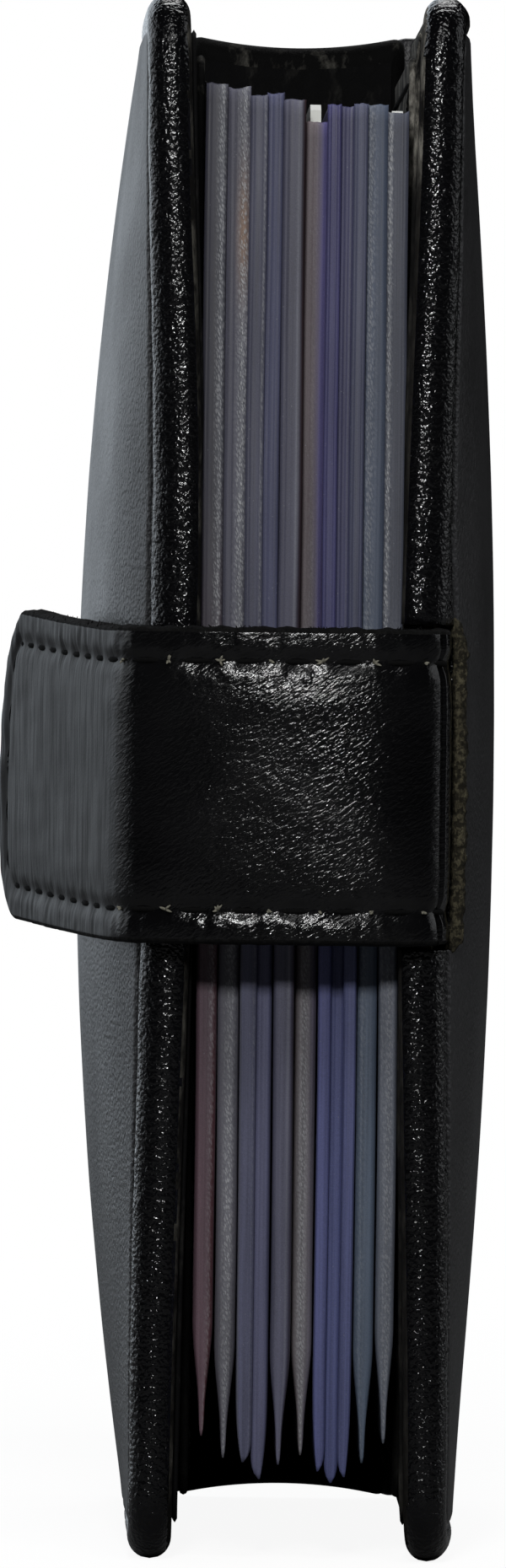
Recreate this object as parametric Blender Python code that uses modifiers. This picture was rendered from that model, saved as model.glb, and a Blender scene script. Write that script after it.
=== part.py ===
"""Book-form leather card holder with eleven clear sleeves and a snap strap.

Metres, +Z up. The holder stands on its lower edges with the origin at the middle of the
spine's foot. The fore-edge faces -Y, the front cover is at -X and the back cover at +X.
"""
import math

import bmesh
import bpy
from mathutils import Matrix, Vector
from mathutils.geometry import interpolate_bezier

# Whole holder
HOLDER_HEIGHT = 0.110
PANEL_THICKNESS = 0.0030
GLUE_GAP = 0.00006
RUNNING_GAP = 0.0003
CUT_OVERRUN = 0.004

# Leather, board and lining of the covers and the spine
LEATHER_THICKNESS = 0.0009
BOARD_THICKNESS = 0.00065
LINING_THICKNESS = 0.00045
RIM_RADIUS = 0.0012
CORNER_RADIUS = 0.005
TURN_IN = 0.008
BOARD_MARGIN = 0.0020
FOAM_MARGIN = 0.0045
LINING_MARGIN = 0.0025
FRONT_DOME = 0.0044
BACK_DOME = 0.0030
PINCH_DEPTH = 0.00105
PINCH_REACH = 0.008
PINCH_HEIGHT = 0.058
PINCH_HALF_SPAN = 0.058
SPINE_SWELL = 0.0006
SPINE_DIP = 0.0008

# Slip pockets inside the covers
POCKET_THICKNESS = 0.00062
POCKET_SLOT = 0.00020
POCKET_SEAM = 0.004
POCKET_MARGIN = 0.004
POCKET_FORE_MARGIN = 0.011
POCKET_CORNER = 0.0025

# Strap
STRAP_WIDTH = 0.022
STRAP_HEIGHT = 0.0545
STRAP_LAYER = 0.00084
STRAP_CORNER_RADIUS = 0.0060
STRAP_TIP_SLANT = 0.2408
STRAP_TIP_REACH = 0.0145
STRAP_CREASE_REACH = 0.0189
STRAP_STANDOFF = 0.0032
STRAP_TAIL = 0.013
SLIT_SETBACK = 0.0035
SLIT_PLAY = 0.0004
ROOT_HANDLE = 0.0055
MIDDLE_HANDLE = 0.0088
CREASE_HANDLE = 0.0032

# Press stud
SNAP_SETBACK = 0.0200
SNAP_STACK = 0.00155
SEAT_DEPTH = 0.00032
STUD_FLANGE_RADIUS = 0.0046
STUD_FLANGE_THICKNESS = 0.00036
STUD_NECK_RADIUS = 0.0017
STUD_HEAD_RADIUS = 0.0023
STUD_HEAD_HEIGHT = 0.0006
STUD_NECK_HEIGHT = 0.0002
SNAP_EDGE = 0.0003
SNAP_PLAY = 0.00012
SOCKET_RADIUS = 0.0044
SOCKET_WALL_TOP = 0.0004
POST_RADIUS = 0.0013
POST_DISC_RADIUS = 0.0035
POST_DISC_DEPTH = 0.00145
POST_DISC_THICKNESS = 0.00035
CAP_RADIUS = 0.0050
CAP_THICKNESS = 0.00034

# Page block: sleeves counted from the front cover, cards in two of them
BINDING_THICKNESS = 0.0014
BINDING_MARGIN = 0.008
BINDING_CORNER = 0.00035
SPINE_LINING_MARGIN = 0.0010
SLEEVE_THICKNESS_SHARES = (1.07, 1.13, 0.82, 0.82, 1.07, 1.13, 0.625, 0.625, 0.625, 1.07, 1.0)
SLEEVE_GAP = 0.00013
PAGE_PLAY = 0.00017
PAGE_SETBACK = 0.00343
SLEEVE_TOP = 0.1026
SLEEVE_FOOT = 0.0068
SLEEVE_STEP = 0.0012
SLEEVE_FILM = 0.0002
SLEEVE_WELD = 0.0012
SLEEVE_ROOT_THICKNESS = 0.0004
SLEEVE_ROOT_LENGTH = 0.006
SLEEVE_SHOULDER = 0.003
SLEEVE_NOSE = 0.0024
SLEEVE_TAPER = 0.0095
SLEEVE_EDGE_SHARE = 0.4
FOLD_LINE_SHARES = (0.35, 1.0)
FOOT_LINE_SHARES = (0.25, 0.6, 1.0)
POCKET_FOOT_SHARE = 0.6
SLEEVE_TIP_THICKNESS = 0.00035
SLEEVE_TOP_SHARES = (0.9, 0.7, 0.25, 0.4, 0.0, -1.25, -0.25, -0.3, -0.15, -0.2, -0.65)
SLEEVE_FOOT_SHARES = (1.6, 0.3, 0.1, -0.9, 0.0, 0.5, -0.4, -1.1, -0.7, 0.1, 1.3)
SLEEVE_FORE_SHARES = (0.1, 0.5, -0.3, 0.2, -0.6, 0.6, -0.1, 0.4, -0.5, 0.2, -0.4)
CARD_SLEEVES = {"card_front": 6, "card_back": 11}
CARD_WIDTH = 0.0540
CARD_HEIGHT = 0.0856
CARD_THICKNESS = 0.00076
CARD_CORNER_RADIUS = 0.0032
CARD_REST_SHARES = {"card_front": 1.0, "card_back": 0.86}
CARD_FORE_GAP = 0.0004
CARD_SIDE_PLAY = 0.0023
CARD_FACE_PLAY = 0.00006

# Facets
CORNER_STEPS = 3
COVER_COLUMNS = 5
COVER_ROWS = 7
RIM_STEPS = 2
TURN_STEPS = 24
PATH_STEPS = 9
MATCH = 0.00001
SQUARE_SHARE = 0.9

# Derived sizes and places
SLEEVE_THICKNESS = CARD_THICKNESS + 2 * (SLEEVE_FILM + CARD_FACE_PLAY)
SLEEVE_COUNT = len(SLEEVE_THICKNESS_SHARES)
PAGE_STACK = SLEEVE_THICKNESS * sum(SLEEVE_THICKNESS_SHARES) + SLEEVE_GAP * (SLEEVE_COUNT - 1)
INNER_HALF_WIDTH = PAGE_STACK / 2 + PAGE_PLAY + POCKET_THICKNESS + LINING_THICKNESS + 2 * GLUE_GAP
CARD_ROOM = CARD_WIDTH + CARD_FORE_GAP + CARD_SIDE_PLAY
SLEEVE_DEPTH = SLEEVE_STEP + SLEEVE_NOSE + CARD_ROOM + SLEEVE_SHOULDER + SLEEVE_ROOT_LENGTH
SPINE_Y = PANEL_THICKNESS / 2
BINDING_BACK_Y = -SPINE_Y - GLUE_GAP - LINING_THICKNESS - GLUE_GAP
BINDING_FRONT_Y = BINDING_BACK_Y - BINDING_THICKNESS
SLEEVE_HINGE_Y = BINDING_FRONT_Y - RUNNING_GAP - SLEEVE_ROOT_THICKNESS / 2
SLEEVE_BACK_Y = SLEEVE_HINGE_Y + SLEEVE_ROOT_THICKNESS / 2
FORE_EDGE_Y = SLEEVE_BACK_Y - SLEEVE_DEPTH - PAGE_SETBACK
HOLDER_DEPTH = SPINE_Y - FORE_EDGE_Y
SNAP_Y = FORE_EDGE_Y + SNAP_SETBACK
COVER_MIDDLE_Y = SPINE_Y - HOLDER_DEPTH / 2
OUTER_HALF_WIDTH = INNER_HALF_WIDTH + PANEL_THICKNESS
HINGE_X = INNER_HALF_WIDTH + PANEL_THICKNESS / 2
BOARD_INNER = INNER_HALF_WIDTH + LEATHER_THICKNESS + GLUE_GAP
BOARD_OUTER = BOARD_INNER + BOARD_THICKNESS
SPINE_HALF_WIDTH = INNER_HALF_WIDTH - RUNNING_GAP - GLUE_GAP
LINING_INNER = INNER_HALF_WIDTH - GLUE_GAP - LINING_THICKNESS
POCKET_INNER = LINING_INNER - GLUE_GAP - POCKET_THICKNESS
STRAP_LOW = STRAP_HEIGHT - STRAP_WIDTH / 2
STRAP_HIGH = STRAP_HEIGHT + STRAP_WIDTH / 2
SLIT_Y = FORE_EDGE_Y + SLIT_SETBACK

for old in list(bpy.data.objects):
    bpy.data.objects.remove(old, do_unlink=True)
PARTS = bpy.data.collections.new("card_holder")
CUTTERS = bpy.data.collections.new("cutters")
bpy.context.scene.collection.children.link(PARTS)
bpy.context.scene.collection.children.link(CUTTERS)


def make_material(name, colour, roughness, metallic=0.0, alpha=1.0):
    material = bpy.data.materials.new(name)
    material.use_nodes = True
    shader = material.node_tree.nodes["Principled BSDF"]
    shader.inputs["Base Color"].default_value = (*colour, 1.0)
    shader.inputs["Roughness"].default_value = roughness
    shader.inputs["Metallic"].default_value = metallic
    shader.inputs["Alpha"].default_value = alpha
    return material


COVER_LEATHER = make_material("cover_leather", (0.012, 0.012, 0.015), 0.38)
STRAP_LEATHER = make_material("strap_leather", (0.008, 0.008, 0.009), 0.32)
STRAP_SUEDE = make_material("strap_suede", (0.03, 0.028, 0.025), 0.8)
LINING_FABRIC = make_material("lining_fabric", (0.02, 0.02, 0.022), 0.75)
POCKET_LEATHER = make_material("pocket_leather", (0.015, 0.015, 0.017), 0.5)
BOARD_FIBRE = make_material("board_fibre", (0.25, 0.21, 0.16), 0.9)
PADDING_FOAM = make_material("padding_foam", (0.5, 0.48, 0.42), 0.95)
BINDING_TAPE = make_material("binding_tape", (0.03, 0.03, 0.035), 0.7)
SLEEVE_FILM_CLEAR = make_material("sleeve_film", (0.36, 0.37, 0.5), 0.25, alpha=0.7)
CARD_PLASTIC = make_material("card_plastic", (0.9, 0.9, 0.9), 0.4)
SNAP_METAL = make_material("snap_metal", (0.35, 0.33, 0.3), 0.3, metallic=1.0)


def finish_mesh(mesh, name, material, origin=Vector((0.0, 0.0, 0.0))):
    """Turn a working mesh into a named part whose origin is at the given place."""
    bmesh.ops.translate(mesh, vec=-origin, verts=mesh.verts)
    bmesh.ops.recalc_face_normals(mesh, faces=mesh.faces)
    data = bpy.data.meshes.new(name)
    mesh.to_mesh(data)
    mesh.free()
    data.materials.append(material)
    piece = bpy.data.objects.new(name, data)
    piece.location = origin
    PARTS.objects.link(piece)
    return piece


def box_mesh(low, high):
    mesh = bmesh.new()
    bmesh.ops.create_cube(mesh, size=1.0)
    low, high = Vector(low), Vector(high)
    bmesh.ops.scale(mesh, vec=high - low, verts=mesh.verts)
    bmesh.ops.translate(mesh, vec=(low + high) / 2, verts=mesh.verts)
    return mesh


def round_corners(mesh, axis, radius, steps=CORNER_STEPS):
    """Round the four edges of a box that run along one axis."""
    edges = []
    for edge in mesh.edges:
        run = edge.verts[1].co - edge.verts[0].co
        if abs(run[axis]) > run.length / 2:
            edges.append(edge)
    bmesh.ops.bevel(mesh, geom=edges, offset=radius, segments=steps, profile=0.5, affect="EDGES")


def round_rim(mesh, axis, radius, steps=RIM_STEPS):
    """Round the outlines of the two broad faces that are square to one axis."""
    edges = []
    for edge in mesh.edges:
        run = edge.verts[1].co - edge.verts[0].co
        across = [abs(face.normal[axis]) > 0.5 for face in edge.link_faces]
        if abs(run[axis]) < run.length / 2 and any(across) and not all(across):
            edges.append(edge)
    bmesh.ops.bevel(mesh, geom=edges, offset=radius, segments=steps, profile=0.5, affect="EDGES")


def cut_lines(mesh, axis, places):
    """Score a mesh along planes square to one axis, so that it can bend there."""
    for place in places:
        point = Vector((0.0, 0.0, 0.0))
        normal = Vector((0.0, 0.0, 0.0))
        point[axis] = place
        normal[axis] = 1.0
        everything = mesh.verts[:] + mesh.edges[:] + mesh.faces[:]
        bmesh.ops.bisect_plane(mesh, geom=everything, dist=MATCH, plane_co=point, plane_no=normal)


def spread(low, high, count):
    """Evenly spaced places from one end to the other."""
    return [low + (high - low) * step / (count - 1) for step in range(count)]


def open_window(mesh, axis, low, high):
    """Take the faces of one broad side out inside a rectangle, which leaves an open shell."""
    broad = [face for face in mesh.faces if abs(face.normal[axis]) > SQUARE_SHARE]
    side = min(face.calc_center_median()[axis] for face in broad)
    inside = []
    for face in broad:
        centre = face.calc_center_median()
        within = all(low[i] < centre[i] < high[i] for i in range(3) if i != axis)
        if within and centre[axis] < side + MATCH:
            inside.append(face)
    bmesh.ops.delete(mesh, geom=inside, context="FACES")


def add_solidify(piece, thickness, offset):
    solid = piece.modifiers.new("thickness", "SOLIDIFY")
    solid.thickness = thickness
    solid.offset = offset
    solid.use_even_offset = True
    solid.use_rim = True


def add_cutter(name, mesh):
    cutter = finish_mesh(mesh, name, BOARD_FIBRE)
    PARTS.objects.unlink(cutter)
    CUTTERS.objects.link(cutter)
    cutter.hide_render = True
    cutter.display_type = "WIRE"
    return cutter


def cut_with(piece, cutter, operation="DIFFERENCE"):
    cut = piece.modifiers.new(cutter.name, "BOOLEAN")
    cut.operation = operation
    cut.solver = "EXACT"
    cut.object = cutter


def pinch_at(y, z):
    """How far the closed strap draws the fore-edge of a cover in at one place."""
    behind = min(max((y - FORE_EDGE_Y) / PINCH_REACH, 0.0), 1.0)
    along = min(abs(z - PINCH_HEIGHT) / PINCH_HALF_SPAN, 1.0)
    return PINCH_DEPTH * (1.0 - behind) * math.cos(along * math.pi / 2) ** 2


def dome_at(y, z, dome):
    """Height of a cover's padding above its rim."""
    across = (y - COVER_MIDDLE_Y) / (HOLDER_DEPTH / 2)
    up = (z - HOLDER_HEIGHT / 2) / (HOLDER_HEIGHT / 2)
    return dome * max(1.0 - across ** 2, 0.0) * max(1.0 - up ** 2, 0.0)


COVER_Y_LINES = (
    [FORE_EDGE_Y + TURN_IN / 2, FORE_EDGE_Y + PINCH_REACH, SPINE_Y - TURN_IN / 2]
    + spread(FORE_EDGE_Y + TURN_IN, SPINE_Y - TURN_IN, COVER_COLUMNS)
)
COVER_Z_LINES = (
    [TURN_IN / 2, HOLDER_HEIGHT - TURN_IN / 2]
    + spread(TURN_IN, HOLDER_HEIGHT - TURN_IN, COVER_ROWS)
)


def cover_slab(inner, outer, margin, corner, dome=0.0, rim=0.0, window=False):
    """A layer of a cover on the +X side, bent with the cover and padded on its outer face."""
    low = (inner, FORE_EDGE_Y + margin, margin)
    mesh = box_mesh(low, (outer, SPINE_Y - margin, HOLDER_HEIGHT - margin))
    round_corners(mesh, 0, corner)
    if rim:
        mesh.normal_update()
        round_rim(mesh, 0, rim)
    cut_lines(mesh, 1, COVER_Y_LINES)
    cut_lines(mesh, 2, COVER_Z_LINES)
    if window:
        mesh.normal_update()
        low = (0.0, FORE_EDGE_Y + TURN_IN, TURN_IN)
        high = (0.0, SPINE_Y - TURN_IN, HOLDER_HEIGHT - TURN_IN)
        open_window(mesh, 0, low, high)
    middle = (inner + outer) / 2
    for vert in mesh.verts:
        y, z = vert.co.y, vert.co.z
        if vert.co.x > middle:
            vert.co.x += dome_at(y, z, dome)
        vert.co.x -= pinch_at(y, z)
    return mesh


def place_on_side(mesh, side):
    """Leave a layer on the back cover's side, or mirror it to the front cover's."""
    if side < 0:
        bmesh.ops.scale(mesh, vec=(-1.0, 1.0, 1.0), verts=mesh.verts)
    return mesh


def cover_leather(cover, side, dome):
    mesh = cover_slab(
        INNER_HALF_WIDTH, OUTER_HALF_WIDTH, 0.0, CORNER_RADIUS, dome=dome, rim=RIM_RADIUS, window=True)
    shell = finish_mesh(place_on_side(mesh, side), cover + "_leather", COVER_LEATHER)
    add_solidify(shell, LEATHER_THICKNESS, -1.0)
    return shell


def cover_board(cover, side):
    mesh = cover_slab(BOARD_INNER, BOARD_OUTER, BOARD_MARGIN, CORNER_RADIUS - BOARD_MARGIN)
    return finish_mesh(place_on_side(mesh, side), cover + "_board", BOARD_FIBRE)


def cover_foam(cover, side, dome):
    outer = OUTER_HALF_WIDTH - LEATHER_THICKNESS - 2 * GLUE_GAP
    mesh = cover_slab(BOARD_OUTER + GLUE_GAP, outer, FOAM_MARGIN, CORNER_RADIUS - FOAM_MARGIN, dome=dome)
    return finish_mesh(place_on_side(mesh, side), cover + "_foam", PADDING_FOAM)


def cover_lining(cover, side):
    """A sheet over the turned-in leather that is pressed down onto the board in the window."""
    corner = CORNER_RADIUS - LINING_MARGIN
    mesh = cover_slab(LINING_INNER, LINING_INNER + LINING_THICKNESS, LINING_MARGIN, corner)
    sheet = finish_mesh(place_on_side(mesh, side), cover + "_lining", LINING_FABRIC)
    inset = TURN_IN + GLUE_GAP
    low = (LINING_INNER + LINING_THICKNESS / 2, FORE_EDGE_Y + inset, inset)
    high = (BOARD_INNER - GLUE_GAP, SPINE_Y - inset, HOLDER_HEIGHT - inset)
    cut_with(sheet, add_cutter(cover + "_lining_fill", place_on_side(box_mesh(low, high), side)), "UNION")
    return sheet


def cover_pocket(cover, side):
    """A slip pocket glued on three edges and open towards the spine."""
    low = Vector((POCKET_INNER, FORE_EDGE_Y + POCKET_FORE_MARGIN, POCKET_MARGIN))
    high = Vector((LINING_INNER - GLUE_GAP, SPINE_Y - TURN_IN, HOLDER_HEIGHT - POCKET_MARGIN))
    mesh = box_mesh(low, high)
    round_corners(mesh, 0, POCKET_CORNER)
    panel = finish_mesh(place_on_side(mesh, side), cover + "_pocket", POCKET_LEATHER)
    slot_low = Vector((high.x - POCKET_SLOT, low.y + POCKET_SEAM, low.z + POCKET_SEAM))
    slot_high = Vector((high.x + CUT_OVERRUN, high.y + CUT_OVERRUN, high.z - POCKET_SEAM))
    cut_with(panel, add_cutter(cover + "_pocket_slot", place_on_side(box_mesh(slot_low, slot_high), side)))
    return panel


def spine_slab(inner, outer, half_width, margin, swell, rim):
    """A layer of the spine, from its inner face at -Y to its outer face at +Y."""
    mesh = box_mesh((-half_width, inner, margin), (half_width, outer, HOLDER_HEIGHT - margin))
    if rim:
        mesh.normal_update()
        round_rim(mesh, 1, rim)
    cut_lines(mesh, 0, [-half_width / 2, 0.0, half_width / 2])
    cut_lines(mesh, 2, [TURN_IN, HOLDER_HEIGHT - TURN_IN])
    for vert in mesh.verts:
        across = 1.0 - min(abs(vert.co.x) / SPINE_HALF_WIDTH, 1.0) ** 2
        ends = min(vert.co.z, HOLDER_HEIGHT - vert.co.z) / TURN_IN
        if vert.co.y > (inner + outer) / 2:
            vert.co.y += swell * across * min(ends, 1.0)
        if vert.co.z > HOLDER_HEIGHT / 2:
            vert.co.z -= SPINE_DIP * across
    return mesh


def make_spine():
    mesh = spine_slab(-SPINE_Y, SPINE_Y, SPINE_HALF_WIDTH, 0.0, SPINE_SWELL, RIM_RADIUS)
    mesh.normal_update()
    half_window = SPINE_HALF_WIDTH / 2
    low = (-half_window, 0.0, TURN_IN - SPINE_DIP)
    high = (half_window, 0.0, HOLDER_HEIGHT - TURN_IN)
    open_window(mesh, 1, low, high)
    shell = finish_mesh(mesh, "spine_leather", COVER_LEATHER)
    add_solidify(shell, LEATHER_THICKNESS, -1.0)

    board_y = -SPINE_Y + LEATHER_THICKNESS + GLUE_GAP
    half_board = SPINE_HALF_WIDTH - BOARD_MARGIN
    mesh = spine_slab(board_y, board_y + BOARD_THICKNESS, half_board, BOARD_MARGIN, 0.0, 0.0)
    finish_mesh(mesh, "spine_board", BOARD_FIBRE)

    lining_y = -SPINE_Y - GLUE_GAP
    half_lining = SPINE_HALF_WIDTH - SPINE_LINING_MARGIN
    mesh = spine_slab(lining_y - LINING_THICKNESS, lining_y, half_lining, BOARD_MARGIN, 0.0, 0.0)
    finish_mesh(mesh, "spine_lining", LINING_FABRIC)

    half_binding = half_lining - GLUE_GAP
    low = (-half_binding, BINDING_FRONT_Y, BINDING_MARGIN)
    high = (half_binding, BINDING_BACK_Y, HOLDER_HEIGHT - BINDING_MARGIN)
    mesh = box_mesh(low, high)
    round_corners(mesh, 2, BINDING_CORNER, 1)
    finish_mesh(mesh, "page_binding", BINDING_TAPE)


def snap_frame():
    """Place and direction of the press stud, from the cover's padded face and the strap's slant."""
    x = -(OUTER_HALF_WIDTH + dome_at(SNAP_Y, STRAP_HEIGHT, FRONT_DOME) - pinch_at(SNAP_Y, STRAP_HEIGHT))
    outward = Vector((-math.cos(STRAP_TIP_SLANT), -math.sin(STRAP_TIP_SLANT), 0.0))
    return Vector((x, SNAP_Y, STRAP_HEIGHT)), outward


SNAP_PLACE, SNAP_OUTWARD = snap_frame()
SNAP_MATRIX = Matrix.Translation(SNAP_PLACE) @ SNAP_OUTWARD.to_track_quat("Z", "Y").to_matrix().to_4x4()
TIP_ALONG = Vector((SNAP_OUTWARD.y, -SNAP_OUTWARD.x, 0.0))
STRAP_THICKNESS = 2 * STRAP_LAYER + GLUE_GAP
TIP_MIDDLE = SNAP_PLACE + SNAP_OUTWARD * (SNAP_STACK + STRAP_THICKNESS / 2)
CREASE = TIP_MIDDLE - TIP_ALONG * STRAP_CREASE_REACH
ROOT_X = BOARD_OUTER + GLUE_GAP + STRAP_LAYER - STRAP_THICKNESS / 2 - pinch_at(SLIT_Y, STRAP_HEIGHT)
STRAP_ROOT = Vector((ROOT_X, SLIT_Y, STRAP_HEIGHT))
STRAP_PIVOT = Vector((ROOT_X + STRAP_THICKNESS / 2, SLIT_Y - RUNNING_GAP, STRAP_HEIGHT))


def strap_band_path():
    """Middle line of the strap from the slit round the fore-edge to the crease at the front cover."""
    middle = Vector((0.0, FORE_EDGE_Y - STRAP_STANDOFF, STRAP_HEIGHT))
    left = Vector((-1.0, 0.0, 0.0))
    forward = Vector((0.0, -1.0, 0.0))
    first = interpolate_bezier(
        STRAP_ROOT, STRAP_ROOT + forward * ROOT_HANDLE,
        middle - left * MIDDLE_HANDLE, middle, PATH_STEPS)
    second = interpolate_bezier(
        middle, middle + left * MIDDLE_HANDLE,
        CREASE - TIP_ALONG * CREASE_HANDLE, CREASE, PATH_STEPS)
    return [*first, *second[1:]]


def strap_tip_path():
    """Middle line of the strap's flat end, with closer rows where the corners are rounded."""
    length = STRAP_CREASE_REACH + STRAP_TIP_REACH
    turn = [math.sin(step * math.pi / 2 / CORNER_STEPS) for step in range(CORNER_STEPS + 1)]
    rows = [0.0, length / 3, length * 2 / 3]
    rows += [length - STRAP_CORNER_RADIUS * (1.0 - share) for share in turn]
    return [CREASE + TIP_ALONG * row for row in rows]


def shorten(path, length):
    """Take a length off the start of a path."""
    path = [point.copy() for point in path]
    while (path[1] - path[0]).length < length:
        length -= (path[1] - path[0]).length
        path.pop(0)
    path[0] += (path[1] - path[0]).normalized() * length
    return path


def trim_path(path, start, end):
    """Shorten a path at its two ends."""
    return shorten(shorten(path, start)[::-1], end)[::-1]


def offset_path(path, distance):
    """A path beside another one, on its outer side."""
    moved = []
    for index, point in enumerate(path):
        ahead = path[min(index + 1, len(path) - 1)]
        behind = path[max(index - 1, 0)]
        run = (ahead - behind).normalized()
        moved.append(point + Vector((-run.y, run.x, 0.0)) * distance)
    return moved


def strap_sheet(name, path, half_widths, material):
    """One leather layer of the strap: a strip laid along its path, given its thickness."""
    rows = len(path)
    mesh = bmesh.new()
    bmesh.ops.create_grid(mesh, x_segments=rows - 1, y_segments=2, size=1.0)
    for vert in mesh.verts:
        row = round((vert.co.x + 1.0) / 2 * (rows - 1))
        side = vert.co.y
        vert.co = path[row] + Vector((0.0, 0.0, side * half_widths[row]))
    strip = finish_mesh(mesh, name, material)
    add_solidify(strip, STRAP_LAYER, 0.0)
    return strip


def make_strap():
    layer = (STRAP_LAYER + GLUE_GAP) / 2
    half = STRAP_WIDTH / 2
    band = trim_path(strap_band_path(), RUNNING_GAP, RUNNING_GAP / 2)
    tip = trim_path(strap_tip_path(), RUNNING_GAP / 2, 0.0)
    band_widths = [half] * len(band)
    tip_widths = []
    for point in tip:
        left_over = max(STRAP_CORNER_RADIUS - (tip[-1] - point).length, 0.0)
        drop = STRAP_CORNER_RADIUS - math.sqrt(STRAP_CORNER_RADIUS ** 2 - left_over ** 2)
        tip_widths.append(half - drop)
    strap_sheet("strap_outer_band", offset_path(band, layer), band_widths, STRAP_LEATHER)
    inner_band = trim_path(offset_path(band, -layer), BOARD_MARGIN, 0.0)
    strap_sheet("strap_lining_band", inner_band, band_widths, STRAP_SUEDE)
    outer_tip = strap_sheet("strap_outer_tip", offset_path(tip, layer), tip_widths, STRAP_LEATHER)
    lining_tip = strap_sheet("strap_lining_tip", offset_path(tip, -layer), tip_widths, STRAP_SUEDE)
    return outer_tip, lining_tip


def turned(name, profile, material, cutter=False):
    """A round part about the press stud's axis, from half its outline read from top to bottom."""
    data = bpy.data.meshes.new(name)
    points = [(radius, 0.0, height) for radius, height in profile]
    data.from_pydata(points, [(index, index + 1) for index in range(len(points) - 1)], [])
    data.materials.append(material)
    piece = bpy.data.objects.new(name, data)
    piece.matrix_world = SNAP_MATRIX
    (CUTTERS if cutter else PARTS).objects.link(piece)
    screw = piece.modifiers.new("turn", "SCREW")
    screw.axis = "Z"
    screw.angle = math.tau
    screw.steps = TURN_STEPS
    screw.render_steps = TURN_STEPS
    screw.use_merge_vertices = True
    screw.merge_threshold = MATCH
    screw.use_smooth_shade = True
    if cutter:
        piece.hide_render = True
        piece.display_type = "WIRE"
    return piece


def disc_cutter(name, radius, low, high):
    return turned(name, [(0.0, high), (radius, high), (radius, low), (0.0, low)], BOARD_FIBRE, cutter=True)


def make_snap(front_leather, front_foam, outer_tip, lining_tip):
    """Press stud: male half on the front cover, socket and cap in the strap's tip."""
    flange_low = -SEAT_DEPTH + GLUE_GAP
    flange_high = flange_low + STUD_FLANGE_THICKNESS
    head_low = flange_high + STUD_NECK_HEIGHT
    head_high = head_low + STUD_HEAD_HEIGHT
    edge = SNAP_EDGE
    turned("snap_stud", [
        (0.0, head_high), (STUD_NECK_RADIUS, head_high), (STUD_HEAD_RADIUS - edge, head_high - edge),
        (STUD_HEAD_RADIUS, (head_low + head_high) / 2), (STUD_NECK_RADIUS, head_low),
        (STUD_NECK_RADIUS, flange_high), (STUD_FLANGE_RADIUS - edge, flange_high),
        (STUD_FLANGE_RADIUS, flange_low), (0.0, flange_low)], SNAP_METAL)

    disc_high = -POST_DISC_DEPTH
    disc_low = disc_high - POST_DISC_THICKNESS
    turned("stud_post", [
        (0.0, flange_low - GLUE_GAP), (POST_RADIUS, flange_low - GLUE_GAP), (POST_RADIUS, disc_high),
        (POST_DISC_RADIUS, disc_high), (POST_DISC_RADIUS, disc_low), (0.0, disc_low)], SNAP_METAL)
    hole = POST_RADIUS + SNAP_PLAY
    cut_with(front_leather, disc_cutter("stud_seat", STUD_FLANGE_RADIUS + SNAP_PLAY, -SEAT_DEPTH, CUT_OVERRUN))
    cut_with(front_leather, disc_cutter("stud_hole", hole, disc_low - GLUE_GAP, SEAT_DEPTH))
    recess = disc_cutter("post_recess", POST_DISC_RADIUS + SNAP_PLAY, disc_low - GLUE_GAP, CUT_OVERRUN)
    cut_with(front_foam, recess)

    socket_low = flange_high + SNAP_PLAY
    socket_high = SNAP_STACK - GLUE_GAP
    mouth = STUD_HEAD_RADIUS + SNAP_PLAY
    roof = socket_high - SOCKET_WALL_TOP
    turned("snap_socket", [
        (0.0, socket_high), (SOCKET_RADIUS, socket_high), (SOCKET_RADIUS, socket_low + edge),
        (SOCKET_RADIUS - edge, socket_low), (mouth, socket_low), (mouth, roof), (0.0, roof)], SNAP_METAL)

    lining_high = SNAP_STACK + STRAP_LAYER
    cap_low = lining_high + GLUE_GAP
    cap_high = cap_low + CAP_THICKNESS
    turned("snap_cap", [
        (0.0, cap_high), (CAP_RADIUS - edge, cap_high), (CAP_RADIUS, cap_high - edge), (CAP_RADIUS, cap_low),
        (POST_RADIUS, cap_low), (POST_RADIUS, SNAP_STACK), (0.0, SNAP_STACK)], SNAP_METAL)
    cut_with(lining_tip, disc_cutter("socket_hole", hole, SNAP_STACK - CUT_OVERRUN, cap_high))
    cap_room = disc_cutter("cap_recess", CAP_RADIUS + SNAP_PLAY, SNAP_STACK, cap_high + GLUE_GAP)
    cut_with(outer_tip, cap_room)


def make_strap_anchor(back_leather, back_foam):
    """The strap's tail, glued between the back cover's board and leather behind the slit."""
    low = Vector((BOARD_OUTER + GLUE_GAP, SLIT_Y, STRAP_LOW))
    high = Vector((low.x + STRAP_LAYER, SLIT_Y + STRAP_TAIL, STRAP_HIGH))
    mesh = box_mesh(low, high)
    cut_lines(mesh, 1, COVER_Y_LINES)
    cut_lines(mesh, 2, COVER_Z_LINES)
    for vert in mesh.verts:
        vert.co.x -= pinch_at(vert.co.y, vert.co.z)
    finish_mesh(mesh, "strap_anchor", STRAP_LEATHER)

    tail_room = Vector((SNAP_PLAY, SNAP_PLAY, SLIT_PLAY))
    room_low = Vector((low.x - CUT_OVERRUN, low.y, low.z)) - tail_room
    cut_with(back_foam, add_cutter("tail_room", box_mesh(room_low, high + tail_room)))

    slit_low = Vector((
        ROOT_X - STRAP_THICKNESS / 2 - SLIT_PLAY, FORE_EDGE_Y - CUT_OVERRUN, STRAP_LOW - SLIT_PLAY))
    slit_high = Vector((OUTER_HALF_WIDTH + CUT_OVERRUN, SLIT_Y, STRAP_HIGH + SLIT_PLAY))
    cut_with(back_leather, add_cutter("strap_slit", box_mesh(slit_low, slit_high)))


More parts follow.
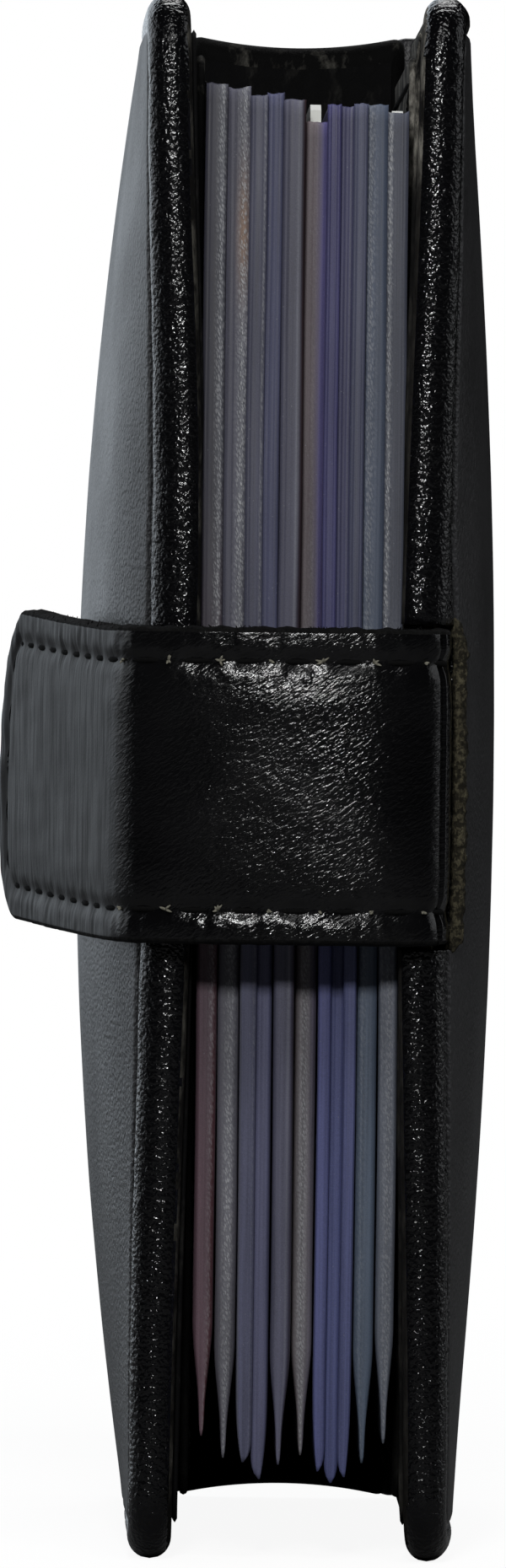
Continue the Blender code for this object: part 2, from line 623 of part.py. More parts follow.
def sleeve_thickness_at(behind_fore, above_foot, before_root, full):
    """Thickness of a sleeve: full over its pocket, thin at the fold, the weld below and the root."""
    fold = min(behind_fore / SLEEVE_NOSE, 1.0)
    fold = SLEEVE_EDGE_SHARE + (1.0 - SLEEVE_EDGE_SHARE) * math.sin(fold * math.pi / 2)
    foot = min(above_foot / SLEEVE_TAPER, 1.0)
    foot_share = SLEEVE_TIP_THICKNESS / full
    foot = foot_share + (1.0 - foot_share) * math.sin(foot * math.pi / 2)
    root = min(max(before_root - SLEEVE_ROOT_LENGTH, 0.0) / SLEEVE_SHOULDER, 1.0)
    root_thickness = SLEEVE_ROOT_THICKNESS + (full - SLEEVE_ROOT_THICKNESS) * root
    return min(full * fold * foot, root_thickness)


def make_sleeve(number, middle, full):
    """One clear sleeve: a welded film pocket that is open at its top and hinged at its root."""
    root = SLEEVE_BACK_Y
    fore = root - SLEEVE_DEPTH + SLEEVE_STEP * SLEEVE_FORE_SHARES[number - 1]
    top = SLEEVE_TOP + SLEEVE_STEP * SLEEVE_TOP_SHARES[number - 1]
    foot = SLEEVE_FOOT + SLEEVE_STEP * SLEEVE_FOOT_SHARES[number - 1]
    fold_lines = [fore + SLEEVE_NOSE * share for share in FOLD_LINE_SHARES]
    root_lines = [root - SLEEVE_ROOT_LENGTH, root - SLEEVE_ROOT_LENGTH - SLEEVE_SHOULDER]
    foot_lines = [foot + SLEEVE_TAPER * share for share in FOOT_LINE_SHARES]

    def shape(mesh, film):
        cut_lines(mesh, 1, fold_lines + root_lines)
        cut_lines(mesh, 2, foot_lines)
        for vert in mesh.verts:
            side = math.copysign(1.0, vert.co.x)
            y, z = vert.co.y, vert.co.z
            thickness = sleeve_thickness_at(y - fore, z - foot, root - y, full)
            vert.co.x = middle + side * (thickness / 2 - film)
        return mesh

    outer = box_mesh((-full, fore, foot), (full, root, top))
    sleeve = finish_mesh(
        shape(outer, 0.0), f"sleeve_{number:02d}", SLEEVE_FILM_CLEAR, Vector((middle, SLEEVE_HINGE_Y, 0.0)))
    low = (-full, fore + SLEEVE_WELD, foot + SLEEVE_TAPER * POCKET_FOOT_SHARE)
    high = (full, root - SLEEVE_ROOT_LENGTH - SLEEVE_SHOULDER, top + CUT_OVERRUN)
    cut_with(sleeve, add_cutter(f"sleeve_{number:02d}_pocket", shape(box_mesh(low, high), SLEEVE_FILM)))
    return sleeve


def make_card(name, middle, number):
    """A blank card standing in its sleeve, a little proud of the film."""
    sleeve_foot = SLEEVE_FOOT + SLEEVE_STEP * SLEEVE_FOOT_SHARES[number - 1]
    foot = sleeve_foot + SLEEVE_TAPER * CARD_REST_SHARES[name]
    fore = SLEEVE_HINGE_Y - SLEEVE_DEPTH + SLEEVE_STEP + SLEEVE_NOSE + CARD_FORE_GAP
    half = CARD_THICKNESS / 2
    mesh = box_mesh((middle - half, fore, foot), (middle + half, fore + CARD_WIDTH, foot + CARD_HEIGHT))
    round_corners(mesh, 0, CARD_CORNER_RADIUS)
    centre = Vector((middle, fore + CARD_WIDTH / 2, foot + CARD_HEIGHT / 2))
    return finish_mesh(mesh, name, CARD_PLASTIC, centre)


def make_pages():
    """The page block, laid from the front cover to the back with even gaps."""
    edge = -PAGE_STACK / 2
    sleeves = {}
    middles = {}
    for number, share in enumerate(SLEEVE_THICKNESS_SHARES, start=1):
        full = SLEEVE_THICKNESS * share
        middles[number] = edge + full / 2
        sleeves[number] = make_sleeve(number, middles[number], full)
        edge += full + SLEEVE_GAP
    for name, number in CARD_SLEEVES.items():
        carry(make_card(name, middles[number], number), sleeves[number])


def world_place(piece):
    """Where a piece's origin stands in the holder. No parent here is turned."""
    if piece.parent is None:
        return piece.location.copy()
    return piece.matrix_parent_inverse.translation + piece.location + world_place(piece.parent)


def carry(piece, parent):
    """Parent a piece without moving it."""
    place = world_place(parent)
    piece.parent = parent
    piece.matrix_parent_inverse = Matrix.Translation(-place)


def hinge_empty(name, place, parent=None):
    """An empty on a hinge's axis, which carries what turns there."""
    empty = bpy.data.objects.new(name, None)
    empty.location = place
    PARTS.objects.link(empty)
    if parent is not None:
        carry(empty, parent)
    return empty


def make_cover(cover, side, dome):
    return {
        "leather": cover_leather(cover, side, dome),
        "board": cover_board(cover, side),
        "foam": cover_foam(cover, side, dome),
        "lining": cover_lining(cover, side),
        "pocket": cover_pocket(cover, side),
    }


def main():
    make_spine()
    front = make_cover("front", -1, FRONT_DOME)
    back = make_cover("back", 1, BACK_DOME)
    outer_tip, lining_tip = make_strap()
    make_snap(front["leather"], front["foam"], outer_tip, lining_tip)
    make_strap_anchor(back["leather"], back["foam"])
    make_pages()

    front_hinge = hinge_empty("front_hinge", Vector((-HINGE_X, 0.0, 0.0)))
    back_hinge = hinge_empty("back_hinge", Vector((HINGE_X, 0.0, 0.0)))
    root_hinge = hinge_empty("strap_root_hinge", Vector((STRAP_PIVOT.x, STRAP_PIVOT.y, 0.0)), back_hinge)
    crease_hinge = hinge_empty("strap_crease_hinge", Vector((CREASE.x, CREASE.y, 0.0)), root_hinge)
    riders = {
        front_hinge: ["front_leather", "front_board", "front_foam", "front_lining", "front_pocket",
                      "snap_stud", "stud_post"],
        back_hinge: ["back_leather", "back_board", "back_foam", "back_lining", "back_pocket", "strap_anchor"],
        root_hinge: ["strap_outer_band", "strap_lining_band"],
        crease_hinge: ["strap_outer_tip", "strap_lining_tip", "snap_socket", "snap_cap"],
    }
    for hinge, names in riders.items():
        for name in names:
            carry(bpy.data.objects[name], hinge)


main()
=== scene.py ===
"""Looks of a book-form leather card holder: leather, thread, film, fibre and metal.

Metres, +Z up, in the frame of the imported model. The fore-edge faces -Y, the front cover is
at -X and the back cover at +X.
"""

import math
import random

import bmesh
import bpy
from mathutils import Matrix, Vector, noise
from mathutils.geometry import interpolate_bezier


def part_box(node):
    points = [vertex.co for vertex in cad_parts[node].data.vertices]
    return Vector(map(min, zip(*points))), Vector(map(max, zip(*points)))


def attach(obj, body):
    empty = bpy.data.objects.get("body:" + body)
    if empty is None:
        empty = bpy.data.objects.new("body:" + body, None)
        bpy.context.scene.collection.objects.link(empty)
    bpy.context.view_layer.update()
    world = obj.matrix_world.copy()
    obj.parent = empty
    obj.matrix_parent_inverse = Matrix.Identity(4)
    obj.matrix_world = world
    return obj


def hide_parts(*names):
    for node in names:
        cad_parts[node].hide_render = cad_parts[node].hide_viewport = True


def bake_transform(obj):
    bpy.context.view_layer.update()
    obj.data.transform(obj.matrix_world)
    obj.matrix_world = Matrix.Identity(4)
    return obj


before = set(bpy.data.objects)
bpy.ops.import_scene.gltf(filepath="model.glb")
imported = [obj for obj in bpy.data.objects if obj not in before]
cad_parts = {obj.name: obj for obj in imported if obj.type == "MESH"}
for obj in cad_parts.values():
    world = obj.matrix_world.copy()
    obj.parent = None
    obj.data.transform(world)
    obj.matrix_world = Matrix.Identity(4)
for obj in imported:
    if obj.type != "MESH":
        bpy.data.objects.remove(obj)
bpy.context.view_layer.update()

# Covers. A draw is an even lean of the fore-edge, a further lean, and its height and half span
SPINE_Y = 0.0015
RIM = 0.0015
CORNER_RADIUS = 0.005
FRONT_DOME = 0.0044
BACK_DOME = 0.0030
PINCH_DEPTH = 0.00105
PINCH_HEIGHT = 0.058
PINCH_HALF_SPAN = 0.058
DRAW_REACH = 0.014
FRONT_DRAW = (0.00005, 0.00070, 0.078, 0.022)
BACK_DRAW = (0.00062, 0.00020, 0.045, 0.040)
TURN_IN = 0.008
WINDOW_DEPTH = 0.00092
WINDOW_EDGE = 0.0002
CREASE_INSET = 0.00235
CREASE_DEPTH = 0.00034
CREASE_WIDTH = 0.00028
SLIT_PULL = 0.0011
SLIT_PULL_REACH = 0.0045
WAVE = 0.00006
RIPPLE = 0.00004
RIM_ARCS = 8
BORDER = 0.0045
FORE_STEP = 0.00022
BACK_STEP = 0.0005
END_STEP = 0.0003
COVER_STEP = 0.0006
RIM_LEAST = 0.00004

# Linings and slip pockets
LINING_MARGIN = 0.0025
LINING_THICKNESS = 0.00038
LINING_GAP = 0.00004
LINING_EDGE = 0.0004
LINING_STEPS = (0.0011, 0.0013)
PAGES_HALF = 0.00706
EDGE_LINES = (0.0001, 0.0003)
POCKET_SEAM = 0.0019
POCKET_LINES = (*EDGE_LINES, 0.0015, POCKET_SEAM, 0.0023)
POCKET_STEP = 0.0014
POCKET_EDGE = 0.0003
POCKET_GROOVE = 0.00010
POCKET_THREAD = 0.00016
SEAM_START = 0.001

# Spine and the strips at its hinges, drawn as places out from the hinge and behind it
SPINE_PLAY = 0.0004
SPINE_SWELL = 0.0006
SPINE_CORNER = 0.0009
SPINE_DIP = 0.0009
SPINE_SHORT = 0.0002
SPINE_ARCS = 6
SPINE_BORDER = 0.004
SPINE_END_STEP = 0.0004
SPINE_STEP = 0.0012
HINGE_THICKNESS = 0.00030
HINGE_GRAIN = 0.00003
HINGE_STEP = 0.0003
HINGE_REACH = 0.0002
HINGE_BEND = (-0.0030, 0.0004)
HINGE_LINE = ((0.00125, 0.00095), (0.0008, 0.00135), (0.0002, 0.00156), (-0.0005, 0.00150),
              (-0.0011, 0.00118), (-0.0016, 0.00105), (-0.0021, 0.00125), (-0.0027, 0.00180),
              (-0.0034, 0.00205), (-0.0040, 0.00198))

# Strap
STRAP_LAYER = 0.00084
STRAP_THICKNESS = 0.00174
STRAP_CORNER = 0.0042
STRAP_STANDOFF = 0.0032
STRAP_TIP_SLANT = 0.2408
STRAP_TIP_REACH = 0.0145
STRAP_CREASE_REACH = 0.0189
STRAP_TAIL_IN = 0.0045
SNAP_SETBACK = 0.0200
SNAP_STACK = 0.00155
ROOT_HANDLE = 0.0055
ROOT_BULGE = 0.0009
MIDDLE_HANDLE = 0.0088
CREASE_HANDLE = 0.0032
CURVE_STEPS = 60
CREASE_SOFTNESS = 0.0019
PATH_STEP = 0.0003
OUTWARD_REACH = 0.0006
SEAM_SETBACK = 0.0042
TIP_LIFT = 0.0012
END_BOW = 0.0030
END_APEX = -0.0022
END_REACH = 0.010
STRAP_STEP = 0.00025
ACROSS_STEP = 0.00022
STRAP_EDGE = 0.0006
STRAP_LINES = (0.0, 0.00006, 0.00015, 0.0003, 0.00045)
STRAP_LEAST = 0.00003
EDGE_ROUNDING = 0.0004
LAYER_GROOVE = 0.00009
FRAY_BROAD = 0.00016
FRAY_FINE = 0.00011
FRAY_REACH = 0.0005
SEAM_DEPTH = 0.00013
HOLE_DEPTH = 0.00016
STRAP_GRAIN = 0.000030
STRAP_CROWN = 0.00012
CUT_EDGE = 0.00032
SLIT_PLAY = 0.0004
MOUTH_OVERRUN = 0.004
MOUTH_BEVEL = 0.0006
SLOT_BEVEL = 0.0002

# Thread, tufts, fibres and the slit's raw edge
STITCH_INSET = 0.0023
STITCH_PITCH = 0.0035
STITCH_DEPTH = 0.00052
STITCH_RISE = 0.00026
THREAD_RADIUS = 0.00021
TUFT_SIZES = (0.00020, 0.00042)
TUFT_RADII = (0.00012, 0.00010, 0.00007, 0.00003)
FUZZ_COUNT = 420
FUZZ_REACH = (0.00008, 0.00034)
FUZZ_RADIUS = (0.00003, 0.00008)
LIP_HALF = 0.00054
LIP_DEPTH = 0.00055
LIP_STANDOFF = 0.00070
LIP_STEP = 0.00022
LIP_SIDES = 12
RANDOM = random.Random(7)

# Camera
CAMERA_ROLL = 0.7
CAMERA_REACH = 1.050
CAMERA_X = -0.012
CAMERA_Z = 0.068
CAMERA_AIM = (-0.0033, 0.0546)
FRAME_HEIGHT = 0.10973
SENSOR = 36.0

# Places read from the frame
FRONT_LEATHER_LOW, FRONT_LEATHER_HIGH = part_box("front_leather")
HEIGHT = FRONT_LEATHER_HIGH.z
FORE_EDGE_Y = FRONT_LEATHER_LOW.y
COVER_MIDDLE_Y = (SPINE_Y + FORE_EDGE_Y) / 2
HALF_DEPTH = (SPINE_Y - FORE_EDGE_Y) / 2
OUTER_HALF_WIDTH = -FRONT_LEATHER_LOW.x - FRONT_DOME
HINGE_X = OUTER_HALF_WIDTH - RIM
INNER_HALF_WIDTH = HINGE_X - RIM
SPINE_HALF = INNER_HALF_WIDTH - SPINE_PLAY
ANCHOR_LOW, ANCHOR_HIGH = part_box("strap_anchor")
SLIT_Y = ANCHOR_LOW.y
STRAP_LOW = ANCHOR_LOW.z
STRAP_HIGH = ANCHOR_HIGH.z
STRAP_HEIGHT = (STRAP_LOW + STRAP_HIGH) / 2
HALF_STRAP = (STRAP_HIGH - STRAP_LOW) / 2


def smooth(low, high, value):
    """0 before low, 1 after high, and a soft step between."""
    share = min(max((value - low) / (high - low), 0.0), 1.0)
    return share * share * (3.0 - 2.0 * share)


def bell(value, width):
    """1 at zero, and less and less over a width."""
    return math.exp(-(value / width) ** 2)


def bumps(x, y, z):
    """Smooth noise between about -1 and 1."""
    return noise.noise(Vector((x, y, z)))


def drawn_in(side, y, z):
    """How far a cover's fore-edge leans in, with the strap's pull and its own bend."""
    even, more, height, span = BACK_DRAW if side > 0 else FRONT_DRAW
    behind = min(max((y - FORE_EDGE_Y) / DRAW_REACH, 0.0), 1.0)
    along = min(abs(z - PINCH_HEIGHT) / PINCH_HALF_SPAN, 1.0)
    pulled = PINCH_DEPTH * math.cos(along * math.pi / 2) ** 2
    return (1.0 - behind) ** 2 * (pulled + even + more * bell(z - height, span))


def dome_at(y, z, dome):
    """Height of a cover's padding above its rim."""
    across = (y - COVER_MIDDLE_Y) / HALF_DEPTH
    up = (z - HEIGHT / 2) / (HEIGHT / 2)
    return dome * max(1.0 - across ** 2, 0.0) * max(1.0 - up ** 2, 0.0)


def spread(low, high, step):
    """Places from one end to the other, about a step apart."""
    count = max(round((high - low) / step), 1)
    return [low + (high - low) * index / count for index in range(count + 1)]


def merged(places, least=0.00005):
    """Sorted places without any that lie closer together than a least step."""
    kept = []
    for place in sorted(places):
        if not kept or place - kept[-1] > least:
            kept.append(place)
    return kept


def rimmed(low, high, arcs, border, low_step, high_step, step):
    """Lines that follow a round rim at both ends of a side, fine in its borders."""
    arc = [RIM * (1.0 - math.cos(i * math.pi / 2 / arcs)) for i in range(arcs + 1)]
    lines = [low + inset for inset in arc] + [high - inset for inset in arc]
    lines += spread(low + RIM, low + border, low_step) + spread(high - border, high - RIM, high_step)
    return lines + spread(low + border, high - border, step)


def lined(low, high, step, near_low, near_high=None):
    """Even lines over a side, and more of them near its ends."""
    near_high = near_low if near_high is None else near_high
    ends = [low + inset for inset in near_low] + [high - inset for inset in near_high]
    return merged(spread(low, high, step) + ends)


def rounded(u, v, low, high, radii):
    """Move a point of a rectangle into the rectangle with round corners, and its inset from there.

    radii holds the corner radius at the low and at the high end of u.
    """
    radius = radii[0] if u < (low[0] + high[0]) / 2 else radii[1]
    middle = [(low[i] + high[i]) / 2 for i in (0, 1)]
    half = [(high[i] - low[i]) / 2 for i in (0, 1)]
    side = [math.copysign(1.0, value - middle[i]) for i, value in enumerate((u, v))]
    past = [abs(value - middle[i]) - (half[i] - radius) for i, value in enumerate((u, v))]
    if min(past) <= 0.0 or radius <= 0.0:
        return u, v, max(radius - max(past), 0.0)
    a, b = past[0] / radius, past[1] / radius
    a, b = a * math.sqrt(1.0 - b * b / 2), b * math.sqrt(1.0 - a * a / 2)
    u = middle[0] + side[0] * (half[0] - radius + a * radius)
    v = middle[1] + side[1] * (half[1] - radius + b * radius)
    return u, v, max(radius * (1.0 - math.hypot(a, b)), 0.0)


def placed(name, data):
    """A new object in the scene."""
    thing = bpy.data.objects.new(name, data)
    bpy.context.scene.collection.objects.link(thing)
    return thing


def new_piece(name, vertices, faces, material, uvs=None, floats=None):
    """A smooth-shaded mesh object. uvs holds a pair, and floats a named value, for each vertex."""
    data = bpy.data.meshes.new(name)
    data.from_pydata([tuple(v) for v in vertices], [], faces)
    data.materials.append(material)
    data.shade_smooth()
    if uvs:
        layer = data.uv_layers.new(name="along")
        for loop in data.loops:
            layer.data[loop.index].uv = uvs[loop.vertex_index]
    for key, values in (floats or {}).items():
        data.attributes.new(key, "FLOAT", "POINT").data.foreach_set("value", values)
    return placed(name, data)


def face_out(piece):
    """Turn every face of a closed piece outward."""
    mesh = bmesh.new()
    mesh.from_mesh(piece.data)
    bmesh.ops.recalc_face_normals(mesh, faces=mesh.faces)
    mesh.to_mesh(piece.data)
    mesh.free()


def two_sheets(name, us, vs, material, place, **measures):
    """A closed slab: an outer and an inner sheet over the same grid that share their border.

    place(u, v, side) gives a point, its uv and its inset, for side +1, -1 or, on the border, 0.
    A measure is one more value for each point, worked out from its uv.
    """
    vertices, uvs, insets, index = [], [], [], {}
    for side in (1, -1):
        for i, u in enumerate(us):
            for j, v in enumerate(vs):
                border = i in (0, len(us) - 1) or j in (0, len(vs) - 1)
                if border and side < 0:
                    index[side, i, j] = index[1, i, j]
                    continue
                point, uv, inset = place(u, v, 0 if border else side)
                index[side, i, j] = len(vertices)
                vertices.append(point)
                uvs.append(uv)
                insets.append(inset)
    faces = []
    for side in (1, -1):
        for i in range(len(us) - 1):
            for j in range(len(vs) - 1):
                quad = [index[side, i, j], index[side, i + 1, j],
                        index[side, i + 1, j + 1], index[side, i, j + 1]]
                faces.append(quad if side > 0 else quad[::-1])
    floats = {key: [measure(*uv) for uv in uvs] for key, measure in measures.items()}
    piece = new_piece(name, vertices, faces, material, uvs, {"inset": insets, **floats})
    face_out(piece)
    return piece


def ring_faces(rows, sides):
    """Faces of a tube whose points stand in rows of rings, with a cap at each end."""
    faces = []
    for row in range(rows - 1):
        for side in range(sides):
            here, beside = row * sides + side, row * sides + (side + 1) % sides
            faces.append((here, beside, beside + sides, here + sides))
    return faces + [tuple(reversed(range(sides))), tuple(range((rows - 1) * sides, rows * sides))]


def tube(points, radii, sides=6):
    """Vertices and faces of a capped tube through points."""
    vertices = []
    for index, point in enumerate(points):
        run = points[min(index + 1, len(points) - 1)] - points[max(index - 1, 0)]
        turn = run.to_track_quat("Z", "Y")
        for side in range(sides):
            angle = side * math.tau / sides
            ring = Vector((math.cos(angle), math.sin(angle), 0.0)) * radii[index]
            vertices.append(point + turn @ ring)
    return vertices, ring_faces(len(points), sides)


def joined(name, shapes, material):
    """One object from several closed shapes."""
    vertices, faces = [], []
    for shape_vertices, shape_faces in shapes:
        faces += [tuple(len(vertices) + v for v in face) for face in shape_faces]
        vertices += shape_vertices
    return new_piece(name, vertices, faces, material)


def stitch(place, steps, radius, thin):
    """A tube that swells and rises in its middle. place(share, rise) gives its points."""
    shares = [step / steps for step in range(steps + 1)]
    rises = [math.sin(share * math.pi) for share in shares]
    return tube([place(share, rise) for share, rise in zip(shares, rises)],
                [radius * (thin + (1.0 - thin) * rise) for rise in rises])


class Path:
    """A line through points that can be read at any length along it."""

    def __init__(self, points):
        self.points = points
        self.lengths = [0.0]
        for before, after in zip(points, points[1:]):
            self.lengths.append(self.lengths[-1] + (after - before).length)
        self.total = self.lengths[-1]

    def at(self, length):
        """The place at one length."""
        index = 0
        while index < len(self.lengths) - 2 and self.lengths[index + 1] < length:
            index += 1
        run = self.points[index + 1] - self.points[index]
        share = (length - self.lengths[index]) / run.length
        return self.points[index] + run * share

    def run(self, length, reach):
        """The direction at one length, taken over a reach to both sides."""
        run = self.at(min(length + reach, self.total)) - self.at(max(length - reach, 0.0))
        return run.normalized()

    def outward(self, length):
        """The level direction square to the line, to the right of its run."""
        run = self.run(length, OUTWARD_REACH)
        return Vector((-run.y, run.x, 0.0))

    def softened(self, reach, step):
        """The same line with its corners rounded over a reach."""
        points = []
        for length in spread(0.0, self.total, step):
            near = min(length, self.total - length, reach)
            taken = [self.at(length + near * share) for share in (-1.0, -0.6, -0.3, 0.0, 0.3, 0.6, 1.0)]
            points.append(sum(taken, Vector()) / len(taken))
        return Path(points)


class Nodes:
    """Short way to build a material's nodes."""

    def __init__(self, name):
        self.material = bpy.data.materials.new(name)
        self.material.use_nodes = True
        self.tree = self.material.node_tree
        self.shader = self.tree.nodes["Principled BSDF"]
        self.place = self.add("ShaderNodeTexCoord").outputs["Object"]

    def put(self, socket, value):
        """Link a value to a socket, or set it there."""
        if isinstance(value, bpy.types.NodeSocket):
            self.tree.links.new(value, socket)
        elif socket.type == "RGBA":
            socket.default_value = (*value, 1.0)
        else:
            socket.default_value = value

    def add(self, kind, inputs=None, **settings):
        node = self.tree.nodes.new(kind)
        for key, value in settings.items():
            setattr(node, key, value)
        for key, value in (inputs or {}).items():
            self.put(node.inputs[key], value)
        return node

    def mapped(self, scale, turn=(0.0, 0.0, 0.0), place=None):
        inputs = {"Vector": place or self.place, "Rotation": turn, "Scale": scale}
        return self.add("ShaderNodeMapping", inputs).outputs["Vector"]

    def noise(self, scale, place=None, detail=2.0, rough=0.5, distortion=0.0):
        node = self.add("ShaderNodeTexNoise", {
            "Vector": place or self.place, "Scale": scale, "Detail": detail,
            "Roughness": rough, "Distortion": distortion})
        return node.outputs["Fac"]

    def streaks(self, scale, turn=(0.0, 0.0, 0.0), place=None, **settings):
        """Noise that is drawn out along its smaller scales."""
        return self.noise(1.0, place=self.mapped(scale, turn, place), **settings)

    def cells(self, scale, place=None, feature="F1"):
        inputs = {"Vector": place or self.place, "Scale": scale}
        return self.add("ShaderNodeTexVoronoi", inputs, feature=feature).outputs["Distance"]

    def remap(self, value, low, high, to_low=0.0, to_high=1.0):
        node = self.add("ShaderNodeMapRange", {
            "Value": value, "From Min": low, "From Max": high, "To Min": to_low, "To Max": to_high})
        return node.outputs["Result"]

    def math(self, operation, first, second):
        return self.add("ShaderNodeMath", {0: first, 1: second}, operation=operation).outputs["Value"]

    def plus(self, first, second):
        return self.math("ADD", first, second)

    def minus(self, first, second):
        return self.math("SUBTRACT", first, second)

    def times(self, first, second):
        return self.math("MULTIPLY", first, second)

    def mix(self, share, first, second):
        """Two colours mixed: 6 and 7 are the node's colour inputs, and 2 is its colour output."""
        return self.add("ShaderNodeMix", {0: share, 6: first, 7: second}, data_type="RGBA").outputs[2]

    def vector(self, operation, inputs):
        return self.add("ShaderNodeVectorMath", inputs, operation=operation).outputs[0]

    def warp(self, scale, amount):
        """The object's coordinates, pushed about by a noise."""
        wobble = self.add("ShaderNodeTexNoise", {"Vector": self.place, "Scale": scale, "Detail": 2.0})
        centred = self.vector("SUBTRACT", {0: wobble.outputs["Color"], 1: (0.5, 0.5, 0.5)})
        return self.vector("ADD", {0: self.place, 1: self.vector("SCALE", {0: centred, "Scale": amount})})

    def attribute(self, name, output="Fac"):
        return self.add("ShaderNodeAttribute", attribute_name=name).outputs[output]

    def uv(self):
        return self.add("ShaderNodeUVMap", uv_map="along").outputs["UV"]

    def bump(self, height, distance):
        return self.add("ShaderNodeBump", {"Height": height, "Distance": distance}).outputs["Normal"]

    def finish(self, colour, roughness, normal=None, **others):
        inputs = {"Base Color": colour, "Roughness": roughness, **others}
        if normal:
            inputs["Normal"] = normal
        for key, value in inputs.items():
            self.put(self.shader.inputs[key.replace("_", " ")], value)
        return self.material


def leather_material(name, dark, light, polish, matt, rolled=True):
    """Pebbled leather that is polished on its rolled rims and matt on its faces."""
    n = Nodes(name)
    if rolled:
        rim = n.remap(n.attribute("inset"), CREASE_INSET, CREASE_INSET + 2.0 * CREASE_WIDTH, 1.0, 0.0)
    else:
        rim = n.remap(n.noise(400.0), 0.5, 0.7, 0.0, 0.3)
    blotches = n.remap(n.noise(90.0, detail=4.0, rough=0.6), 0.3, 0.75)
    pushed = n.warp(1100.0, 0.00014)
    pebbles = n.cells(3500.0, feature="SMOOTH_F1", place=pushed)
    worms = n.noise(2800.0, place=pushed, distortion=0.5)
    pits = n.remap(n.cells(2200.0), 0.03, 0.16, 1.0, 0.0)
    pits = n.times(pits, n.remap(n.noise(520.0), 0.45, 0.55))
    height = n.minus(n.times(worms, 1.5), n.times(pebbles, 0.9))
    height = n.times(height, n.remap(rim, 0.0, 1.0, 0.75, 1.0))
    height = n.minus(height, n.times(pits, 1.6))
    rough = n.remap(rim, 0.0, 1.0, matt, polish)
    rough = n.plus(rough, n.remap(blotches, 0.0, 1.0, -0.05, 0.07))
    rough = n.plus(rough, n.times(pits, 0.3))
    colour = n.mix(n.remap(worms, 0.36, 0.64), [0.35 * c for c in light], [1.5 * c for c in light])
    colour = n.mix(n.times(blotches, 0.5), colour, [1.5 * c for c in light])
    # Pits darken the colour too: painted shade in the pores, besides their bump and roughness.
    colour = n.mix(pits, colour, [0.25 * c for c in light])
    colour = n.mix(rim, colour, dark)
    return n.finish(colour, rough, n.bump(height, 0.000068), Specular_IOR_Level=0.42)


def strap_material(name):
    """Glossy black leather with fine wrinkles that run up and to the right."""
    n = Nodes(name)
    turned = n.mapped((1.0, 1.0, 1.0), (0.0, 0.0, math.radians(34.0)), n.uv())
    along = n.mapped((1800.0, 4100.0, 1.0), place=turned)
    ridges = n.noise(1.0, place=along, distortion=0.35)
    fine = n.noise(2.3, place=along)
    patches = n.remap(n.noise(140.0, detail=3.0), 0.35, 0.7)
    lengthwise = n.streaks((2400.0, 130.0, 1.0), place=n.uv(), detail=3.0)
    tip = n.attribute("tip")
    height = n.plus(n.times(ridges, 1.6), n.times(fine, 0.6))
    height = n.times(height, n.remap(tip, 0.0, 1.0, 1.0, 0.16))
    height = n.plus(height, n.times(lengthwise, n.remap(tip, 0.0, 1.0, 0.0, 0.7)))
    colour = n.mix(patches, (0.0022, 0.0022, 0.0026), (0.0045, 0.0045, 0.005))
    worn = n.mix(n.remap(lengthwise, 0.38, 0.5), (0.004, 0.004, 0.0045), (0.015, 0.015, 0.0165))
    colour = n.mix(n.times(tip, 0.7), colour, worn)
    rough = n.plus(n.remap(fine, 0.3, 0.7, 0.12, 0.17), n.remap(tip, 0.0, 1.0, 0.0, 0.34))
    rough = n.plus(rough, n.times(patches, 0.05))
    rough = n.plus(rough, n.times(n.remap(lengthwise, 0.42, 0.56, 0.10, 0.0), tip))
    return n.finish(colour, rough, n.bump(height, 0.000034), Specular_IOR_Level=0.38)


def suede_material(name, dark, light, scale=900.0, bare=0.50, scuffed_and_lit_above=None):
    """Flesh side of leather or lining: short fibres, and pale scuffed spots above one height if given, which
    a very pale colour also makes painted light.
    """
    n = Nodes(name)
    fibres = n.streaks((scale, scale, 0.5 * scale), detail=6.0, rough=0.72, distortion=0.2)
    scuffs = n.streaks((330.0, 330.0, 190.0), detail=5.0, rough=0.7, distortion=0.3)
    scuffs = n.remap(scuffs, bare, bare + 0.16)
    if scuffed_and_lit_above:
        # Spots only above the given height: scuffs, and on the back cover's inner side also painted light on
        # its upper part.
        height = n.add("ShaderNodeSeparateXYZ", {"Vector": n.place}).outputs["Z"]
        scuffs = n.times(scuffs, n.remap(height, scuffed_and_lit_above - 0.004, scuffed_and_lit_above, 0.08, 1.0))
    colour = n.mix(n.times(scuffs, n.remap(fibres, 0.35, 0.65)), dark, light)
    rough = n.remap(scuffs, 0.0, 1.0, 0.8, 0.95)
    return n.finish(colour, rough, n.bump(fibres, 0.00022), Specular_IOR_Level=0.12)


